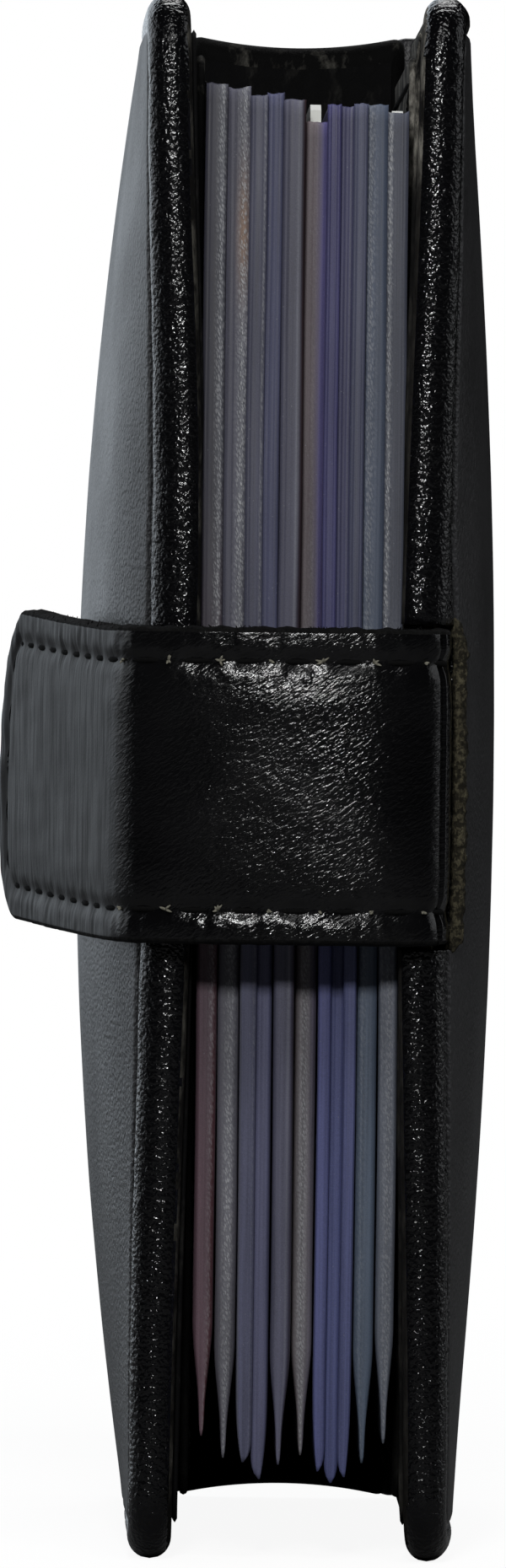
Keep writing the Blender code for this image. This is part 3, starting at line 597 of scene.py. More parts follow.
def film_material(name):
    """Clear film seen on edge: upright streaks, a woven line where its knurled seam shows."""
    n = Nodes(name)
    streaks = n.streaks((4200.0, 4200.0, 26.0), detail=3.0, rough=0.6)
    clouds = n.streaks((700.0, 700.0, 70.0), detail=3.0)
    grain = n.noise(11000.0, detail=1.0)
    shade = n.plus(n.remap(streaks, 0.3, 0.7, -0.20, 0.20), n.remap(clouds, 0.3, 0.7, 0.84, 1.12))
    shade = n.plus(shade, n.remap(grain, 0.3, 0.7, -0.12, 0.12))
    # The film's colour at each point, holding painted light at its top edge and towards its foot.
    base = n.vector("SCALE", {0: n.attribute("tint_and_light", "Color"), "Scale": shade})
    specks = n.times(n.remap(n.cells(2600.0), 0.05, 0.13, 1.0, 0.0), n.remap(n.noise(900.0), 0.55, 0.62))
    base = n.mix(n.times(specks, 0.7), base, (0.22, 0.23, 0.26))
    slanted = n.mapped((7200.0, 1500.0, 3000.0), place=n.mapped((1.0, 1.0, 1.0), (0.0, 0.24, 0.0)))
    knots = n.times(n.remap(n.cells(1.0, place=slanted), 0.25, 0.6, 1.0, 0.0), n.attribute("woven"))
    base = n.mix(n.times(knots, n.remap(clouds, 0.35, 0.6, 0.6, 1.0)), base, (0.52, 0.53, 0.55))
    normal = n.bump(n.plus(n.times(streaks, 0.5), n.times(knots, 1.2)), 0.00006)
    rough = n.remap(streaks, 0.35, 0.65, 0.42, 0.55)
    return n.finish(base, rough, normal, IOR=1.4, Alpha=n.attribute("cover"))


def thread_material(name, colour):
    """Twisted thread."""
    n = Nodes(name)
    twist = n.streaks((5200.0, 5200.0, 5200.0), (0.5, 0.3, 0.8))
    base = n.mix(n.remap(twist, 0.3, 0.7), [0.5 * c for c in colour], colour)
    return n.finish(base, 0.9, n.bump(twist, 0.00005), Specular_IOR_Level=0.15)


def raw_edge_material(name, dark, light):
    """Cut edge of leather: brownish fibres in layers."""
    n = Nodes(name)
    fibres = n.streaks((3000.0, 3000.0, 1100.0), detail=5.0, rough=0.7, distortion=0.8)
    layers = n.noise(260.0, detail=3.0)
    specks = n.noise(2300.0, detail=3.0, rough=0.6)
    colour = n.mix(n.remap(fibres, 0.35, 0.7), dark, light)
    colour = n.mix(n.remap(layers, 0.5, 0.7, 0.0, 0.6), colour, [0.45 * c for c in dark])
    colour = n.mix(n.remap(specks, 0.46, 0.56, 0.85, 0.0), colour, [0.25 * c for c in dark])
    height = n.plus(fibres, n.times(specks, 0.8))
    return n.finish(colour, 0.9, n.bump(height, 0.00022), Specular_IOR_Level=0.2)


def plain_material(name, colour, roughness, metallic=0.0, scale=500.0, depth=0.00002, change=0.35):
    """Moulded, stamped or cut stuff with a little change of colour and grain."""
    n = Nodes(name)
    grain = n.noise(scale, detail=4.0, rough=0.6)
    broad = n.noise(scale / 9.0)
    base = n.mix(n.remap(broad, 0.3, 0.7), [(1.0 - change) * c for c in colour], colour)
    rough = n.remap(grain, 0.3, 0.7, roughness - 0.08, min(roughness + 0.08, 1.0))
    return n.finish(base, rough, n.bump(grain, depth), Metallic=metallic)


# Pale colour of the scuffs on the back cover's inner side, pale enough to also be painted light on its upper
# part.
PALE_SCUFF_AND_LIGHT = (0.42, 0.40, 0.35)
COVER_LEATHER = leather_material("cover_leather", (0.003, 0.003, 0.0036), (0.025, 0.025, 0.027), 0.15, 0.42)
SPINE_LEATHER = leather_material(
    "spine_leather", (0.006, 0.006, 0.0065), (0.022, 0.022, 0.024), 0.36, 0.42, rolled=False)
COVER_INSIDE = suede_material("cover_inside", (0.006, 0.0056, 0.005), (0.11, 0.105, 0.09), bare=0.48)
# The back cover's inner sheets: suede whose pale scuffs at the top are painted light as well as scuffs.
SCUFFED_AND_LIT_INSIDE = suede_material("scuffed_and_lit_inside", (0.012, 0.011, 0.010), PALE_SCUFF_AND_LIGHT, bare=0.40, scuffed_and_lit_above=0.100)
POCKET_LEATHER = suede_material(
    "pocket_leather", (0.003, 0.003, 0.003), (0.12, 0.115, 0.10), bare=0.52, scuffed_and_lit_above=0.100)
SCUFFED_AND_LIT_POCKET = suede_material("scuffed_and_lit_pocket", (0.006, 0.006, 0.0055), PALE_SCUFF_AND_LIGHT, bare=0.42, scuffed_and_lit_above=0.098)
SPINE_INSIDE = suede_material(
    "spine_inside", (0.0016, 0.0016, 0.0016), (0.13, 0.125, 0.11), bare=0.53, scuffed_and_lit_above=0.1065)
STRAP_LEATHER = strap_material("strap_leather")
STRAP_SUEDE = suede_material("strap_suede", (0.006, 0.006, 0.006), (0.03, 0.028, 0.025))
LINING = suede_material("lining_fabric", (0.0022, 0.0022, 0.0024), (0.035, 0.034, 0.031), bare=0.56)
SCUFFED_AND_LIT_LINING = suede_material("scuffed_and_lit_lining", (0.004, 0.004, 0.004), PALE_SCUFF_AND_LIGHT, bare=0.42, scuffed_and_lit_above=0.100)
RAW_EDGE = raw_edge_material("raw_edge", (0.030, 0.026, 0.016), (0.12, 0.108, 0.068))
BLACK_EDGE = raw_edge_material("black_edge", (0.0025, 0.0025, 0.0025), (0.007, 0.007, 0.007))
THREAD = thread_material("thread_black", (0.002, 0.002, 0.002))
TUFT = thread_material("thread_tuft", (0.27, 0.26, 0.21))


def bead_at(inset):
    """Half thickness of a panel's round rim."""
    return math.sqrt(max(RIM ** 2 - (RIM - min(inset, RIM)) ** 2, 0.0))


def make_cover(side, dome, cover):
    """Padded leather of one cover: side is +1 for the back cover and -1 for the front."""
    low, high = (FORE_EDGE_Y, 0.0), (SPINE_Y, HEIGHT)

    def place(u, v, sheet):
        y, z, inset = rounded(u, v, low, high, (CORNER_RADIUS, CORNER_RADIUS))
        bead = bead_at(inset) if sheet else 0.0
        wave = bumps(y * 190.0, z * 190.0, side * 7.0)
        ripple = bumps(y * 700.0, z * 700.0, side * 3.0)
        if sheet > 0:
            by_slit = side > 0 and y < COVER_MIDDLE_Y
            shift = SLIT_PULL * bell(z - STRAP_HIGH, SLIT_PULL_REACH) if by_slit else 0.0
            crease = CREASE_DEPTH * bell(inset - CREASE_INSET - shift, CREASE_WIDTH)
            face = smooth(CREASE_INSET, 2.0 * CREASE_INSET, inset)
            x = HINGE_X + bead - crease + (1.0 - 0.7 * face) * WAVE * wave
            x += (1.0 - face) * RIPPLE * ripple
            x += dome_at(y, z, dome)
        else:
            x = HINGE_X - bead + smooth(TURN_IN, TURN_IN + WINDOW_EDGE, inset) * WINDOW_DEPTH
            x += dome_at(y, z, dome) * (0.5 if sheet == 0 else 0.0)
        x -= drawn_in(side, y, z)
        if inset < RIM:
            pull = WAVE * wave + RIPPLE * ripple
            y += math.copysign(pull, y - COVER_MIDDLE_Y)
            z += math.copysign(pull, z - HEIGHT / 2)
        return Vector((side * x, y, max(z, 0.0))), (y, z), inset

    grid = []
    for i, steps in enumerate(((FORE_STEP, BACK_STEP), (END_STEP, END_STEP))):
        lines = rimmed(low[i], high[i], RIM_ARCS, BORDER, *steps, COVER_STEP)
        lines += [low[i] + TURN_IN, low[i] + TURN_IN + WINDOW_EDGE,
                  high[i] - TURN_IN - WINDOW_EDGE, high[i] - TURN_IN]
        grid.append(merged(lines, RIM_LEAST))
    leather = two_sheets(f"{cover}_leather", *grid, COVER_LEATHER, place)
    leather.data.materials.append(SCUFFED_AND_LIT_INSIDE if side > 0 else COVER_INSIDE)
    for face in leather.data.polygons:
        if face.normal.x * side < -0.8:
            face.material_index = 1
    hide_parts(cover.replace("_cover", "_leather"))
    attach(leather, cover)
    return leather


def box_cutter(name, low, high, bevel):
    """A box with rounded edges, hidden, for a Boolean."""
    mesh = bmesh.new()
    bmesh.ops.create_cube(mesh, size=1.0)
    low, high = Vector(low), Vector(high)
    bmesh.ops.scale(mesh, vec=high - low, verts=mesh.verts)
    bmesh.ops.translate(mesh, vec=(low + high) / 2, verts=mesh.verts)
    bmesh.ops.bevel(mesh, geom=mesh.edges[:], offset=bevel, segments=3, profile=0.5, affect="EDGES")
    data = bpy.data.meshes.new(name)
    mesh.to_mesh(data)
    mesh.free()
    return placed(name, data)


def cut_slit(leather):
    """The mouth that the strap comes out of, and the slot that its tail lies in."""
    near, far = STRAP_LOW - SLIT_PLAY, STRAP_HIGH + SLIT_PLAY
    half = STRAP_THICKNESS / 2
    cutters = [
        box_cutter("mouth", (INNER_HALF_WIDTH - MOUTH_OVERRUN, FORE_EDGE_Y - MOUTH_OVERRUN, near),
                   (OUTER_HALF_WIDTH + MOUTH_OVERRUN, SLIT_Y, far), MOUTH_BEVEL),
        box_cutter("slot", (STRAP_ROOT.x - half - 0.0001, SLIT_Y - 0.002, near),
                   (STRAP_ROOT.x + half + 0.0002, SLIT_Y + STRAP_TAIL_IN + 0.001, far), SLOT_BEVEL)]
    for cutter in cutters:
        cut = leather.modifiers.new(cutter.name, "BOOLEAN")
        cut.operation = "DIFFERENCE"
        cut.solver = "EXACT"
        cut.object = cutter
    graph = bpy.context.evaluated_depsgraph_get()
    data = bpy.data.meshes.new_from_object(leather.evaluated_get(graph))
    leather.modifiers.clear()
    leather.data = data
    for cutter in cutters:
        bpy.data.objects.remove(cutter)


def make_lining(side, cover):
    """Lining glued over the turned-in leather of a cover."""
    low = (FORE_EDGE_Y + LINING_MARGIN, LINING_MARGIN)
    high = (SPINE_Y - LINING_MARGIN, HEIGHT - LINING_MARGIN)

    def place(u, v, sheet):
        y, z, inset = rounded(u, v, low, high, (LINING_MARGIN, LINING_MARGIN))
        x = INNER_HALF_WIDTH - LINING_GAP - drawn_in(side, y, z)
        if sheet <= 0:
            soft = RIPPLE * bumps(y * 130.0, z * 130.0, side * 5.0)
            x -= LINING_THICKNESS * min(inset / LINING_EDGE + 0.3, 1.0) ** 0.5 + soft
        if y < FORE_EDGE_Y + DRAW_REACH:
            x = max(x, PAGES_HALF)
        return Vector((side * x, y, z)), (y, z), inset

    us, vs = (lined(low[i], high[i], LINING_STEPS[i], EDGE_LINES[1:]) for i in (0, 1))
    lining = two_sheets(f"{cover}_lining_fabric", us, vs, SCUFFED_AND_LIT_LINING if side > 0 else LINING, place)
    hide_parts(cover.replace("_cover", "_lining"))
    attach(lining, cover)


def make_pocket(side, cover):
    """Slip pocket on a cover's inner side, sewn on three sides and open towards the spine."""
    node = cover.replace("_cover", "_pocket")
    box_low, box_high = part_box(node)
    inner, outer = sorted((abs(box_low.x), abs(box_high.x)))
    low, high = (box_low.y, box_low.z), (box_high.y, box_high.z)

    def place(u, v, sheet):
        y, z, inset = rounded(u, v, low, high, (POCKET_SEAM, POCKET_SEAM))
        edge = min(min(inset, high[0] - y) / POCKET_EDGE, 1.0)
        half = (outer - inner) / 2 * (1.0 - (1.0 - edge) ** 3) if sheet else 0.0
        seam = min(inset, y - low[0], z - low[1], high[1] - z)
        groove = POCKET_GROOVE * bell(seam - POCKET_SEAM, 0.0004) if sheet < 0 else 0.0
        x = (inner + outer) / 2 + (half if sheet > 0 else groove - half)
        return Vector((side * x, y, z)), (y, z), inset + CREASE_INSET

    us = lined(low[0], high[0], POCKET_STEP, POCKET_LINES, EDGE_LINES)
    vs = lined(low[1], high[1], POCKET_STEP, POCKET_LINES)
    pocket = two_sheets(f"{node}_leather", us, vs, SCUFFED_AND_LIT_POCKET if side > 0 else POCKET_LEATHER, place)
    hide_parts(node)
    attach(pocket, cover)
    bottom, top = low[1] + POCKET_SEAM, high[1] - POCKET_SEAM
    corners = [(high[0] - SEAM_START, top), (low[0] + POCKET_SEAM, top),
               (low[0] + POCKET_SEAM, bottom), (high[0] - SEAM_START, bottom)]
    stitches = []
    for start, end in zip(corners, corners[1:]):
        count = round(math.dist(start, end) / STITCH_PITCH)
        for number in range(count):
            def on_seam(share, rise):
                done = (number + 0.1 + 0.8 * share) / count
                y, z = (a + (b - a) * done for a, b in zip(start, end))
                return Vector((side * (inner + POCKET_GROOVE - 0.00012 * rise), y, z))

            stitches.append(stitch(on_seam, 6, POCKET_THREAD, 0.7))
    thread = joined(f"{node}_stitches", stitches, THREAD)
    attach(thread, cover)


def spine_dip(x, z):
    """How far the spine's leather falls short of the covers' ends."""
    across = max(1.0 - (x / SPINE_HALF) ** 2, 0.0)
    end = abs(z - HEIGHT / 2) / (HEIGHT / 2)
    return math.copysign((SPINE_DIP * across + SPINE_SHORT) * end ** 6, z - HEIGHT / 2)


def spine_place(u, v, sheet):
    """A point of the spine: the joint side faces +Y, and its ends dip in the middle."""
    x, z, inset = rounded(
        u, v, (-SPINE_HALF, 0.0), (SPINE_HALF, HEIGHT), (SPINE_CORNER, SPINE_CORNER))
    across = 1.0 - (x / SPINE_HALF) ** 2
    z -= spine_dip(x, z)
    y = sheet * bead_at(inset) + (SPINE_SWELL * across if sheet >= 0 else 0.0)
    if sheet > 0:
        y -= CREASE_DEPTH * 0.6 * bell(inset - CREASE_INSET, CREASE_WIDTH)
        y += RIPPLE * bumps(x * 400.0, z * 400.0, 4.0)
    return Vector((x, y, z)), (x, z), inset


def make_spine():
    """Padded leather of the spine."""
    steps = SPINE_END_STEP, SPINE_END_STEP, SPINE_STEP
    xs = rimmed(-SPINE_HALF, SPINE_HALF, SPINE_ARCS, RIM, COVER_STEP, COVER_STEP, COVER_STEP)
    zs = rimmed(0.0, HEIGHT, SPINE_ARCS, SPINE_BORDER, *steps)
    grid = merged(xs, RIM_LEAST), merged(zs, RIM_LEAST)
    spine = two_sheets("spine_cover_leather", *grid, SPINE_LEATHER, spine_place)
    spine.data.materials.append(SPINE_INSIDE)
    for face in spine.data.polygons:
        if face.normal.y < 0.25:
            face.material_index = 1
    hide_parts("spine_leather")
    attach(spine, "spine")


def make_hinge(side, cover):
    """Leather that bridges the groove between a cover and the spine."""
    path = Path([Vector((side * (HINGE_X + x), y, 0.0)) for x, y in HINGE_LINE])

    def place(u, v, sheet):
        run = path.run(u, HINGE_REACH)
        outward = Vector((run.y, -run.x, 0.0)) * side
        if outward.y < 0.0:
            outward = -outward
        inset = min(u, path.total - u, v, HEIGHT - v)
        half = HINGE_THICKNESS / 2 * min(inset / EDGE_LINES[1], 1.0) ** 0.5 if sheet else 0.0
        point = path.at(u) + outward * (half if sheet > 0 else -2.2 * half)
        point.z = v - 1.2 * spine_dip(point.x, v)
        point += outward * HINGE_GRAIN * bumps(u * 900.0, v * 500.0, side)
        return point, (u, v), inset + CREASE_INSET

    us = lined(0.0, path.total, HINGE_STEP, EDGE_LINES[:1])
    vs = lined(0.0, HEIGHT, SPINE_STEP, EDGE_LINES)
    hinge = two_sheets(f"hinge_{cover}", us, vs, SPINE_LEATHER, place)
    start, end = ((side * (HINGE_X + x), SPINE_Y, HEIGHT / 2) for x in HINGE_BEND)
    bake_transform(hinge)
    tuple(start)
    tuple(end)


# Places on the strap's middle line
SNAP_Y = FORE_EDGE_Y + SNAP_SETBACK
SNAP_PLACE = Vector((-(OUTER_HALF_WIDTH + dome_at(SNAP_Y, STRAP_HEIGHT, FRONT_DOME)), SNAP_Y, STRAP_HEIGHT))
SNAP_OUTWARD = Vector((-math.cos(STRAP_TIP_SLANT), -math.sin(STRAP_TIP_SLANT), 0.0))
TIP_ALONG = Vector((SNAP_OUTWARD.y, -SNAP_OUTWARD.x, 0.0))
TIP_MIDDLE = SNAP_PLACE + SNAP_OUTWARD * (SNAP_STACK + STRAP_THICKNESS / 2)
CREASE = TIP_MIDDLE - TIP_ALONG * STRAP_CREASE_REACH
STRAP_ROOT = Vector((ANCHOR_LOW.x + STRAP_LAYER - STRAP_THICKNESS / 2, SLIT_Y, STRAP_HEIGHT))


def strap_points():
    """Middle line of the strap from inside the slit to the end of its tip."""
    middle = Vector((0.0, FORE_EDGE_Y - STRAP_STANDOFF, STRAP_HEIGHT))
    left, forward = Vector((-1.0, 0.0, 0.0)), Vector((0.0, -1.0, 0.0))
    first = interpolate_bezier(
        STRAP_ROOT, STRAP_ROOT + forward * ROOT_HANDLE - left * ROOT_BULGE,
        middle - left * MIDDLE_HANDLE, middle, CURVE_STEPS)
    second = interpolate_bezier(
        middle, middle + left * MIDDLE_HANDLE, CREASE - TIP_ALONG * CREASE_HANDLE, CREASE, CURVE_STEPS)
    end = CREASE + TIP_ALONG * (STRAP_CREASE_REACH + STRAP_TIP_REACH)
    return [STRAP_ROOT - forward * STRAP_TAIL_IN, *first, *second[1:], end]


STRAP = Path(strap_points()).softened(CREASE_SOFTNESS, PATH_STEP)
STRAP_LENGTH = STRAP.total
CREASE_LENGTH = STRAP_LENGTH - STRAP_CREASE_REACH - STRAP_TIP_REACH
SEAM_LENGTH = STRAP_TAIL_IN + SEAM_SETBACK


def tip_lift(length):
    """The strap's end tilts up a little past the crease."""
    past = max(length - CREASE_LENGTH, 0.0)
    return TIP_LIFT * (past / (STRAP_LENGTH - CREASE_LENGTH)) ** 1.3


def bowed(along, up):
    """Length along the strap once its end is bowed out, most of all a little below its middle."""
    near = smooth(STRAP_LENGTH - END_REACH, STRAP_LENGTH, along)
    return along - END_BOW * near * ((up - END_APEX) / HALF_STRAP) ** 2


def strap_groove(along, up, inset):
    """How deep the strap's outer face lies: a sewn groove between puckered borders, and its grain."""
    off = inset - STITCH_INSET
    hole = 0.5 + 0.5 * math.cos(math.tau * ((along - CREASE_LENGTH) / STITCH_PITCH))
    groove = SEAM_DEPTH * bell(off, 0.0006) + HOLE_DEPTH * hole * bell(off, 0.00055)
    pucker = bumps(along * 1500.0, up * 420.0, 6.0)
    swell = (0.00003 + 0.00011 * pucker) * bell(inset - 0.0011, 0.0009)
    swell += 0.00008 * pucker * bell(inset - STITCH_INSET - 0.0008, 0.0008)
    grain = STRAP_GRAIN * bumps(along * 260.0 + up * 90.0, up * 620.0, 1.0)
    crown = STRAP_CROWN * smooth(STITCH_INSET, STITCH_INSET + 0.003, inset)
    return groove - (swell + grain + crown)


def strap_place(u, v, sheet):
    """A point of the strap from its length along and its height from the strap's middle."""
    low, high = (0.0, -HALF_STRAP), (STRAP_LENGTH, HALF_STRAP)
    along, up, inset = rounded(u, v, low, high, (0.0, STRAP_CORNER))
    if u < STRAP_LENGTH - STRAP_CORNER:
        inset = HALF_STRAP - abs(v)
    along = bowed(along, up)
    edge = min(inset / EDGE_ROUNDING, 1.0)
    half = STRAP_THICKNESS / 2 * (1.0 - (1.0 - edge) ** 4) ** 0.25 if sheet else 0.0
    ragged = 1.0 if up > 0.0 else 0.4
    fray = ragged * bumps(along * 900.0, up * 400.0, 2.0) * FRAY_BROAD
    fray += ragged * bumps(along * 3200.0, up * 900.0, 5.0) * FRAY_FINE
    fuzz = (1.0 - min(inset / FRAY_REACH, 1.0)) * fray
    thickness = half - strap_groove(along, up, inset) if sheet > 0 else -half
    point = STRAP.at(along) + STRAP.outward(along) * thickness
    height = up + tip_lift(along) * (1.0 + 0.15 * up / HALF_STRAP)
    height += math.copysign(fuzz - (LAYER_GROOVE if sheet == 0 else 0.0), up)
    point.z = STRAP_HEIGHT + height
    return point, (along, up), inset


def on_strap(along, up, lift):
    """A point above the strap's outer face."""
    along = bowed(along, up)
    point = STRAP.at(along) + STRAP.outward(along) * (STRAP_THICKNESS / 2 + lift)
    point.z = STRAP_HEIGHT + up + tip_lift(along)
    return point


def tip_share(along, _):
    """0 before the crease and 1 past it."""
    return smooth(CREASE_LENGTH - 0.003, CREASE_LENGTH + 0.001, along)


def strap_part(name, us, vs):
    """One stretch of the strap: glossy outside, suede inside and black on its cut edges."""
    part = two_sheets(name, us, vs, STRAP_LEATHER, strap_place, tip=tip_share)
    for material in (STRAP_SUEDE, BLACK_EDGE):
        part.data.materials.append(material)
    insets = [item.value for item in part.data.attributes["inset"].data]
    for face in part.data.polygons:
        length = part.data.uv_layers["along"].data[face.loop_start].uv[0]
        if max(insets[v] for v in face.vertices) < CUT_EDGE:
            face.material_index = 2
        elif face.normal.dot(STRAP.outward(length)) < 0.0:
            face.material_index = 1
    return part


def bend_at_crease(piece):
    """Bake a piece's placement into its mesh."""
    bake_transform(piece)


def make_strap():
    """The strap in two stretches: its root, at the slit, and the rest."""
    us = spread(0.0, STRAP_LENGTH - STRAP_CORNER, STRAP_STEP)
    us += spread(STRAP_LENGTH - STRAP_CORNER, STRAP_LENGTH - STRAP_EDGE, STRAP_STEP)
    us += [STRAP_LENGTH - inset for inset in STRAP_LINES]
    vs = [-HALF_STRAP + inset for inset in STRAP_LINES] + [HALF_STRAP - inset for inset in STRAP_LINES]
    vs += spread(-HALF_STRAP + STRAP_EDGE, HALF_STRAP - STRAP_EDGE, ACROSS_STEP)
    us, vs = merged(us, STRAP_LEAST), merged(vs, STRAP_LEAST)
    seam = min(us, key=lambda u: abs(u - SEAM_LENGTH))
    root = strap_part("strap_root", [u for u in us if u <= seam], vs)
    main = strap_part("strap_main", [u for u in us if u >= seam], vs)
    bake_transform(root)
    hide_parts("strap_outer_band", "strap_lining_band")
    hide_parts("strap_outer_tip", "strap_lining_tip")
    bend_at_crease(main)


def stitch_line():
    """Line of the stitch holes: along the top edge, round the tip and back along the bottom."""
    up = HALF_STRAP - STITCH_INSET
    radius = STRAP_CORNER - STITCH_INSET
    far = STRAP_LENGTH - STITCH_INSET - radius
    straight = spread(SEAM_LENGTH - 0.002, far, 0.0002)
    turn = [(radius * math.sin(a), radius * math.cos(a)) for a in spread(0.0, math.pi / 2, 0.05)]
    places = [(length, up) for length in straight]
    places += [(far + a, up - radius + b) for a, b in turn[1:]]
    places += [(far + a, radius - up - b) for a, b in turn[::-1]]
    places += [(length, -up) for length in straight[-2::-1]]
    return Path([Vector((along, up, 0.0)) for along, up in places])


def make_stitches():
    """Black thread that dips into a hole between stitches. The holes' places are given back."""
    line = stitch_line()
    count = round(line.total / STITCH_PITCH)
    pitch = line.total / count
    stitches = []
    for number in range(count):
        def on_line(share, rise):
            along, up = line.at((number + 0.06 + 0.88 * share) * pitch).xy
            return on_strap(along, up, -STITCH_DEPTH + STITCH_RISE * rise)

        stitches.append(stitch(on_line, 8, THREAD_RADIUS, 0.75))
    thread = joined("strap_stitches", stitches, THREAD)
    bend_at_crease(thread)
    return [line.at(number * pitch).xy for number in range(1, count)]


def make_tufts(holes):
    """Frayed pale fibres that stand out of a few stitch holes."""
    shapes = []
    for along, up in holes:
        size = TUFT_SIZES[0] if RANDOM.random() < 0.5 else TUFT_SIZES[1]
        if along > CREASE_LENGTH - 0.001:
            continue
        for _ in range(RANDOM.randint(2, 4)):
            angle = RANDOM.uniform(0.0, math.tau)
            reach = size * RANDOM.uniform(0.6, 1.3)
            points = [on_strap(along + math.cos(angle) * reach * share, up + math.sin(angle) * reach * share,
                               -0.0002 + 0.0003 * math.sin(share * math.pi * 0.6))
                      for share in (0.0, 0.4, 0.75, 1.0)]
            shapes.append(tube(points, TUFT_RADII, 5))
    tufts = joined("stitch_tufts", shapes, TUFT)
    bend_at_crease(tufts)


def make_fuzz():
    """Short fibres on the strap's cut top edge."""
    shapes = []
    for _ in range(FUZZ_COUNT):
        along = RANDOM.uniform(SEAM_LENGTH + 0.001, STRAP_LENGTH - 0.006)
        if bumps(along * 330.0, 8.0, 1.0) < -0.1:
            continue
        depth = RANDOM.uniform(-0.9, 0.9) * STRAP_THICKNESS / 2
        reach = RANDOM.uniform(*FUZZ_REACH)
        lean = RANDOM.uniform(-0.8, 0.8) * reach
        points = []
        for share in (0.0, 0.5, 1.0):
            point = on_strap(along + lean * share ** 2, HALF_STRAP, depth - STRAP_THICKNESS / 2)
            point.z += reach * share - 0.0001
            points.append(point)
        size = RANDOM.uniform(*FUZZ_RADIUS)
        shapes.append(tube(points, [size, 0.8 * size, 0.3 * size], 4))
    fuzz = joined("strap_fuzz", shapes, BLACK_EDGE)
    bend_at_crease(fuzz)


def make_lip():
    """Raw cut edge of the cover's leather round the mouth that the strap comes out of."""
    lip_x = STRAP_ROOT.x + STRAP_THICKNESS / 2 + LIP_STANDOFF
    line = [(STRAP_ROOT.x - 0.0002, STRAP_HIGH + 0.0008), (lip_x - 0.0005, STRAP_HIGH + 0.00055),
            (lip_x + 0.0001, STRAP_HIGH - 0.0006), (lip_x + 0.00015, STRAP_HEIGHT + 0.004),
            (lip_x + 0.0002, STRAP_HEIGHT - 0.004), (lip_x + 0.0001, STRAP_LOW + 0.0007),
            (lip_x - 0.0003, STRAP_LOW - 0.0004), (lip_x - 0.0012, STRAP_LOW - 0.0009)]
    path = Path([Vector((x, SLIT_Y, z)) for x, z in line])
    lengths = spread(0.0, path.total, LIP_STEP)
    vertices = []
    for length in lengths:
        run = path.run(length, 0.0005)
        out = Vector((-run.z, 0.0, run.x))
        taper = smooth(-0.0006, 0.0018, min(length, path.total - length))
        wide = LIP_HALF * taper * (1.0 + 0.22 * bumps(0.0, 3.0, length * 700.0))
        for side in range(LIP_SIDES):
            angle = side * math.tau / LIP_SIDES
            rough = 1.0 + 0.34 * bumps(math.cos(angle) * 1.5, math.sin(angle) * 1.5, length * 2400.0)
            deep = -LIP_DEPTH * rough * math.sin(angle) * wide / LIP_HALF
            vertices.append(path.at(length) + out * (wide * rough * math.cos(angle))
                            + Vector((0.0, deep, 0.0)))
    lip = new_piece("slit_lip", vertices, ring_faces(len(lengths), LIP_SIDES), RAW_EDGE)
    face_out(lip)
    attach(lip, "back_cover")


# Sleeves, from the front cover to the back: a colour at the top, one at the foot, and stripes,
# each with its place and half width across, its colour, how strong it is at the top and at the
# foot, and how woven it looks
LIGHT = (0.30, 0.31, 0.335)
BROWN = (0.017, 0.007, 0.007)
SHADE = (0.010, 0.010, 0.015)
# The foot colours are the film's tint made about a quarter lighter: painted light that makes up for the
# lamps' weaker light low down.
FILM_LOOKS = (
    ((0.028, 0.028, 0.040), (0.111, 0.068, 0.086),
     ((0.55, 0.28, LIGHT, 0.60, 0.15, 1.0), (0.8, 0.30, (0.061, 0.017, 0.021), 0.0, 0.8, 0.0))),
    ((0.066, 0.066, 0.092), (0.111, 0.108, 0.130),
     ((0.50, 0.33, LIGHT, 0.75, 0.0, 1.0), (0.10, 0.40, LIGHT, 0.0, 0.55, 1.0))),
    ((0.064, 0.066, 0.098), (0.099, 0.103, 0.169),
     ((0.75, 0.14, LIGHT, 0.30, 0.10, 1.0), (-0.85, 0.12, LIGHT, 0.0, 0.35, 0.0))),
    ((0.060, 0.064, 0.118), (0.101, 0.104, 0.176), ((0.95, 0.14, SHADE, 0.8, 0.5, 0.0),)),
    ((0.072, 0.072, 0.106), (0.101, 0.101, 0.150),
     ((0.45, 0.12, LIGHT, 0.30, 0.15, 0.0), (0.95, 0.25, BROWN, 0.95, 0.6, 0.0))),
    ((0.098, 0.078, 0.086), (0.156, 0.143, 0.153),
     ((0.75, 0.45, (0.058, 0.054, 0.156), 0.9, 0.2, 0.0), (-0.10, 0.35, LIGHT, 0.05, 0.6, 1.0),
      (-1.0, 0.25, BROWN, 0.8, 0.6, 0.0))),
    ((0.056, 0.054, 0.135), (0.091, 0.101, 0.234), ()),
    ((0.052, 0.052, 0.108), (0.088, 0.100, 0.227), ((0.60, 0.12, LIGHT, 0.22, 0.0, 0.0),)),
    ((0.062, 0.067, 0.110), (0.087, 0.098, 0.215), ((-0.10, 0.15, LIGHT, 0.10, 0.0, 0.0),)),
    ((0.058, 0.073, 0.110), (0.088, 0.114, 0.161), ((-0.45, 0.40, LIGHT, 0.28, 0.12, 1.0),)),
    ((0.052, 0.057, 0.079), (0.117, 0.130, 0.163),
     ((-0.70, 0.22, LIGHT, 0.85, 0.0, 1.0), (0.10, 0.50, LIGHT, 0.0, 0.3, 1.0))),
)
ORANGE = (0.25, 0.15, 0.09)
ORANGE_SLEEVE = 2
ORANGE_HEIGHT = 0.0935
SLEEVE_SPREAD = 0.00010
FOOT_SPREAD = 0.00002
FOOT_GROUPS = ((3, 4), (7, 8, 9))
FOOT_EXPONENTS = (0.0, 0.0, 4.2, 3.6, 0.0, 0.0, 3.2, 3.2, 3.2, 0.0, 0.0)
FOOT_JOINED = 16.0
FOOT_RISE = 0.0082
FOOT_HALF = 0.00007
FOOT_ROWS = 0.0004
TAIL_SHARE = 0.20
NOSE_DEPTH = 0.00050
NOSE_DIP = 0.00008
NOSE_WAVE = 0.00012
NOSE_STEPS = 20
SLEEVE_SWAY = 0.00009
SLEEVE_ROWS = 0.0011
SLEEVE_FILM = 0.00016
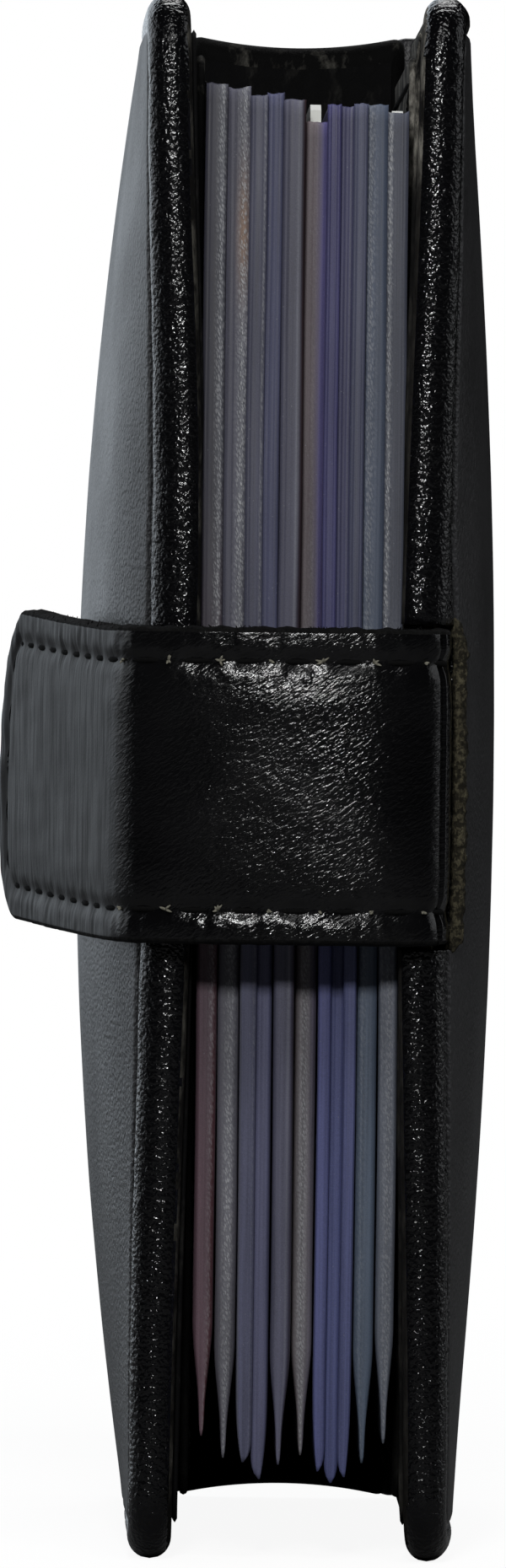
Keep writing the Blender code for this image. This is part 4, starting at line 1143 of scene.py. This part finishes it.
TOP_LINES = (0.00015, 0.0004)
RAGGED_REACH = 0.0002
RAGGED_RISE = 0.00016
ROOT_HALF = 0.00020
ROOT_REACH = 0.0060


def foot_taper(rise, exponent):
    """Share of a sleeve's width left at its foot: blunt, or with a slim tail where the exponent is 0."""
    if exponent:
        return 1.0 - (1.0 - rise) ** exponent
    tail = TAIL_SHARE * min(rise / 0.16, 1.0) ** 0.6
    return tail + (1.0 - TAIL_SHARE) * smooth(0.14, 1.0, rise)


def blended(first, second, share):
    """A colour part of the way from one to another."""
    return [a + (b - a) * share for a, b in zip(first, second)]


def nose_look(number, stripes, plain, across, z, down):
    """Colour of a sleeve's nose with its stripes, and how woven it looks."""
    mixed, weave = plain, 0.0
    for centre, width, colour, top, foot, knurl in stripes:
        strength = bell(across - centre, width) * (top + (foot - top) * down)
        mixed = blended(mixed, colour, strength * (1.0 - 0.5 * knurl))
        weave += strength * knurl
    if number == ORANGE_SLEEVE:
        mixed = blended(mixed, ORANGE, 0.8 * bell(z - ORANGE_HEIGHT, 0.004) * bell(across - 0.45, 0.45))
    return mixed, weave


def make_sleeve(number, look, film):
    """An open pocket of thin film: two faces and a rounded nose that tapers to a point at its foot."""
    name = f"sleeve_{number:02d}"
    low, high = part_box(name)
    middle, half = (low.x + high.x) / 2, (high.x - low.x) / 2
    joined_to = [any(number in group and number + step in group for group in FOOT_GROUPS) for step in (-1, 1)]
    leader = min([number] + [group[0] for group in FOOT_GROUPS if number in group])
    exponents = [FOOT_JOINED if tied else FOOT_EXPONENTS[number - 1] for tied in joined_to]
    top_colour, foot_colour_and_light, stripes = look
    heights = spread(low.z, low.z + FOOT_RISE, FOOT_ROWS)
    heights += spread(low.z + FOOT_RISE, high.z, SLEEVE_ROWS)
    heights = merged(heights + [high.z - inset for inset in TOP_LINES])
    root_y, flat_y = high.y - ROOT_REACH, high.y - 1.5 * ROOT_REACH
    flats = [high.y - 0.0002, root_y, high.y - 1.25 * ROOT_REACH, flat_y,
             (low.y + high.y) / 2, low.y + 0.006, low.y + 0.0025]
    profile = [(-1.0, y, None) for y in flats]
    for angle in spread(-math.pi / 2, math.pi / 2, math.pi / NOSE_STEPS):
        across = math.copysign(abs(math.sin(angle)) ** (2 / 3), angle)
        profile.append((across, None, 1.0 - max(math.cos(angle), 0.0) ** (2 / 3)))
    profile += [(1.0, y, None) for y in reversed(flats)]
    first, last = len(flats), len(profile) - len(flats)
    lobes = 2 + number % 2
    vertices, tints_and_light, woven, cover = [], [], [], []
    for inner in (0, 1):
        for z in heights:
            rise = min((z - low.z) / FOOT_RISE, 1.0)
            tapers = [foot_taper(rise, exponent) for exponent in exponents]
            down = 1.0 - smooth(0.022, 0.080, z)
            swelling = 1.0 + 0.03 * bumps(number * 3.1, 0.0, z * 60.0)
            walls = [swelling * (half * taper + FOOT_HALF * (1.0 - taper)) for taper in tapers]
            spreads = [SLEEVE_SPREAD + (0.0 if tied else (FOOT_SPREAD - SLEEVE_SPREAD) * down)
                       for tied in joined_to]
            sway = SLEEVE_SWAY * bumps(leader * 7.7, 5.0, z * 45.0)
            fore = NOSE_WAVE * bumps(leader * 5.3, 9.0, z * 90.0)
            # Towards the foot the colour carries that painted light as well as the film's tint.
            plain = blended(top_colour, foot_colour_and_light, down)
            # Painted highlight: the top 0.9 mm of each sleeve is made up to 1.7 times lighter, where light
            # catches its top edge.
            light = 1.0 + 0.7 * smooth(high.z - 0.0009, high.z, z)
            ragged = 0.0
            for index, (across, wall_y, depth) in enumerate(profile):
                beside = int(across > 0.0)
                wall, taper, grown = walls[beside], tapers[beside], 0.0
                if depth is None:
                    root = min(max((wall_y - flat_y) / (root_y - flat_y), 0.0), 1.0)
                    wall += (min(ROOT_HALF, wall) - wall) * root
                else:
                    grown = spreads[beside] * taper
                inset = min(SLEEVE_FILM, 0.8 * wall) if inner else 0.0
                x = middle + sway + across * (wall + grown - inset)
                y, mixed, weave = wall_y, plain, 0.0
                if depth is not None:
                    dip = NOSE_DIP * abs(math.sin(lobes * math.pi * (across + 1.0) / 2)) * taper
                    flat = 0.35 if joined_to[beside] else 1.0
                    round_depth = NOSE_DEPTH * (0.14 + 0.86 * down) * flat
                    y = low.y + fore + inset + depth * min(wall, round_depth) - dip
                    mixed, weave = nose_look(number, stripes, plain, across, z, down)
                if z > high.z - RAGGED_REACH:
                    ragged = RAGGED_RISE * bumps(x * 2600.0, y * 160.0, number)
                vertices.append(Vector((x, y, z + ragged)))
                tints_and_light.append([value * light for value in mixed] + [1.0])
                woven.append(min(weave, 1.0))
                cover.append(1.0 if first - 2 <= index <= last + 1 else 0.55)
    rows, columns = len(heights), len(profile)
    layer = rows * columns

    def quads(places, right, up):
        return [(base, base + right, base + right + up, base + up) for base in places]

    skins = [inner * layer + row * columns + column
             for inner in (0, 1) for row in range(rows - 1) for column in range(columns - 1)]
    ends = [row * columns + column for column in range(columns - 1) for row in (0, rows - 1)]
    backs = [row * columns + column for row in range(rows - 1) for column in (0, columns - 1)]
    faces = quads(skins, 1, columns) + quads(ends, 1, layer) + quads(backs, columns, layer)
    sleeve = new_piece(f"{name}_film", vertices, faces, film, floats={"woven": woven, "cover": cover})
    colours = sleeve.data.attributes.new("tint_and_light", "FLOAT_COLOR", "POINT")
    colours.data.foreach_set("color", [value for tint_and_light in tints_and_light for value in tint_and_light])
    face_out(sleeve)
    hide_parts(name)
    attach(sleeve, f"leaf_{number:02d}")


def dress_nodes():
    """Materials for the solids that stay."""
    board = plain_material("board_fibre", (0.25, 0.21, 0.16), 0.9, scale=900.0, depth=0.0001)
    foam = plain_material("padding_foam", (0.5, 0.48, 0.42), 0.95, scale=1500.0, depth=0.0002)
    tape = suede_material("binding_tape", (0.012, 0.012, 0.014), (0.03, 0.03, 0.034), 1600.0)
    card = plain_material("card_plastic", (0.82, 0.83, 0.78), 0.4, scale=300.0, change=0.06)
    metal = plain_material("snap_metal", (0.42, 0.4, 0.36), 0.3, 1.0, scale=900.0)
    looks = {
        board: ["spine_board", "front_board", "back_board"],
        foam: ["front_foam", "back_foam"],
        LINING: ["spine_lining"],
        SPINE_LEATHER: ["spine_leather"],
        tape: ["page_binding"],
        card: ["card_front", "card_back"],
        metal: ["snap_stud", "stud_post", "snap_socket", "snap_cap"],
        STRAP_LEATHER: ["strap_anchor"],
    }
    for material, names in looks.items():
        for name in names:
            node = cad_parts[name]
            node.data.materials.clear()
            node.data.materials.append(material)


def make_camera():
    """Camera at the photograph's angle."""
    camera = placed("camera", bpy.data.cameras.new("camera"))
    camera.location = (CAMERA_X, FORE_EDGE_Y - CAMERA_REACH, CAMERA_Z)
    aim = Vector((CAMERA_AIM[0], FORE_EDGE_Y, CAMERA_AIM[1])) - camera.location
    roll = Matrix.Rotation(math.radians(CAMERA_ROLL), 3, "Z")
    camera.rotation_euler = (aim.to_track_quat("-Z", "Y").to_matrix() @ roll).to_euler()
    camera.data.sensor_fit = "VERTICAL"
    camera.data.sensor_width = camera.data.sensor_height = SENSOR
    camera.data.lens = SENSOR * CAMERA_REACH / FRAME_HEIGHT
    camera.data.clip_start = 0.01
    bpy.context.scene.camera = camera


def make_world():
    """White round the set for the camera and in reflections, and dim for its light on the leather."""
    world = bpy.data.worlds.new("studio")
    bpy.context.scene.world = world
    world.use_nodes = True
    nodes, links = world.node_tree.nodes, world.node_tree.links
    rays = nodes.new("ShaderNodeLightPath")
    seen = rays.outputs["Is Camera Ray"]
    for kind in ("Is Glossy Ray", "Is Transmission Ray"):
        either = nodes.new("ShaderNodeMath")
        either.operation = "MAXIMUM"
        links.new(seen, either.inputs[0])
        links.new(rays.outputs[kind], either.inputs[1])
        seen = either.outputs[0]
    white = nodes.new("ShaderNodeMapRange")
    white.inputs["To Min"].default_value = 0.25
    links.new(seen, white.inputs["Value"])
    links.new(white.outputs["Result"], nodes["Background"].inputs["Strength"])
    nodes["Background"].inputs["Color"].default_value = (1.0, 1.0, 1.0, 1.0)


def make_floor():
    """Plain pale floor that is white close to the holder and grey for other rays than the camera's."""
    n = Nodes("pale_floor")
    rays = n.add("ShaderNodeLightPath").outputs["Is Camera Ray"]
    seen = n.mix(n.remap(n.noise(40.0, detail=3.0), 0.3, 0.7), (0.88, 0.88, 0.88), (0.92, 0.92, 0.92))
    n.finish(n.mix(rays, (0.17, 0.17, 0.17), seen), 0.9)
    away = n.add("ShaderNodeVectorMath", {0: n.place}, operation="LENGTH").outputs["Value"]
    near = n.remap(away, 0.08, 0.40, 1.0, 0.0)
    strength = n.remap(near, 0.0, 1.0, 1.0, 1.1)
    glow = n.add("ShaderNodeEmission", {"Color": (1.0, 1.0, 1.0), "Strength": strength})
    share = n.times(rays, n.remap(near, 0.0, 1.0, 1.0, 0.84))
    blend = n.add("ShaderNodeMixShader", {"Fac": share, 1: n.shader.outputs["BSDF"], 2: glow.outputs[0]})
    n.put(n.tree.nodes["Material Output"].inputs["Surface"], blend.outputs[0])
    bpy.ops.mesh.primitive_plane_add(size=6.0)
    floor = bpy.context.object
    floor.name = "floor"
    floor.data.materials.append(n.material)


def make_lamps():
    """Soft lights: place, aim, width, height, power and colour."""
    front, middle = (0.0, -0.06, 0.06), (0.0, -0.03, 0.05)
    lamps = {
        "key": ((-0.022, -0.34, 0.165), (0.0, -0.0765, 0.07), 0.034, 0.028, 0.38, (1.0, 1.0, 1.0)),
        "overhead": ((0.05, -0.42, 0.55), front, 0.22, 0.18, 0.8, (1.0, 1.0, 1.0)),
        "left_panel": ((-0.55, 1.05, 0.30), (-0.013, -0.04, 0.06), 1.25, 0.9, 3.9, (0.84, 0.92, 1.0)),
        "left_side": ((-1.15, 0.42, 0.45), middle, 0.8, 0.8, 1.8, (0.9, 0.95, 1.0)),
        "right_side": ((1.15, 0.42, 0.45), middle, 0.8, 0.8, 1.3, (0.95, 0.97, 1.0)),
        "back_top": ((0.1, 1.0, 1.1), middle, 0.8, 0.6, 5.0, (1.0, 1.0, 1.0)),
    }
    for name, (place, aim, width, height, power, colour) in lamps.items():
        lamp = placed(name, bpy.data.lights.new(name, "AREA"))
        lamp.data.shape = "RECTANGLE"
        lamp.data.size, lamp.data.size_y = width, height
        lamp.data.energy = power
        lamp.data.color = colour
        lamp.location = place
        lamp.rotation_euler = (Vector(place) - Vector(aim)).to_track_quat("Z", "Y").to_euler()
        lamp.visible_camera = False


def make_flags():
    """Black cloth round the set, which the camera doesn't see, so that black leather stays black."""
    n = Nodes("flag_cloth")
    cloth = n.finish(n.mix(n.noise(30.0), (0.012, 0.012, 0.012), (0.02, 0.02, 0.02)), 0.95,
                     Specular_IOR_Level=0.0)
    radius, height, steps = 1.6, 1.6, 32
    vertices = []
    for step in range(steps + 1):
        angle = math.radians(87.0) - math.tau * step / steps
        for z in (0.0, height):
            vertices.append((radius * math.cos(angle), radius * math.sin(angle), z))
    vertices.append((0.0, 0.0, height))
    faces = [(2 * step, 2 * step + 2, 2 * step + 3, 2 * step + 1) for step in range(steps)]
    faces += [(2 * step + 1, 2 * step + 3, len(vertices) - 1) for step in range(steps)]
    flags = new_piece("flags", vertices, faces, cloth)
    flags.visible_camera = False


bpy.context.scene.view_settings.view_transform = "Standard"
make_camera()
make_world()
make_floor()
make_lamps()
make_flags()
dress_nodes()
make_cover(-1, FRONT_DOME, "front_cover")
cut_slit(make_cover(1, BACK_DOME, "back_cover"))
for side, cover in ((-1, "front_cover"), (1, "back_cover")):
    make_lining(side, cover)
    make_pocket(side, cover)
make_spine()
make_hinge(-1, "front_cover")
make_hinge(1, "back_cover")
make_lip()
film = film_material("sleeve_film")
for number, look in enumerate(FILM_LOOKS, 1):
    make_sleeve(number, look, film)
make_strap()
make_tufts(make_stitches())
make_fuzz()
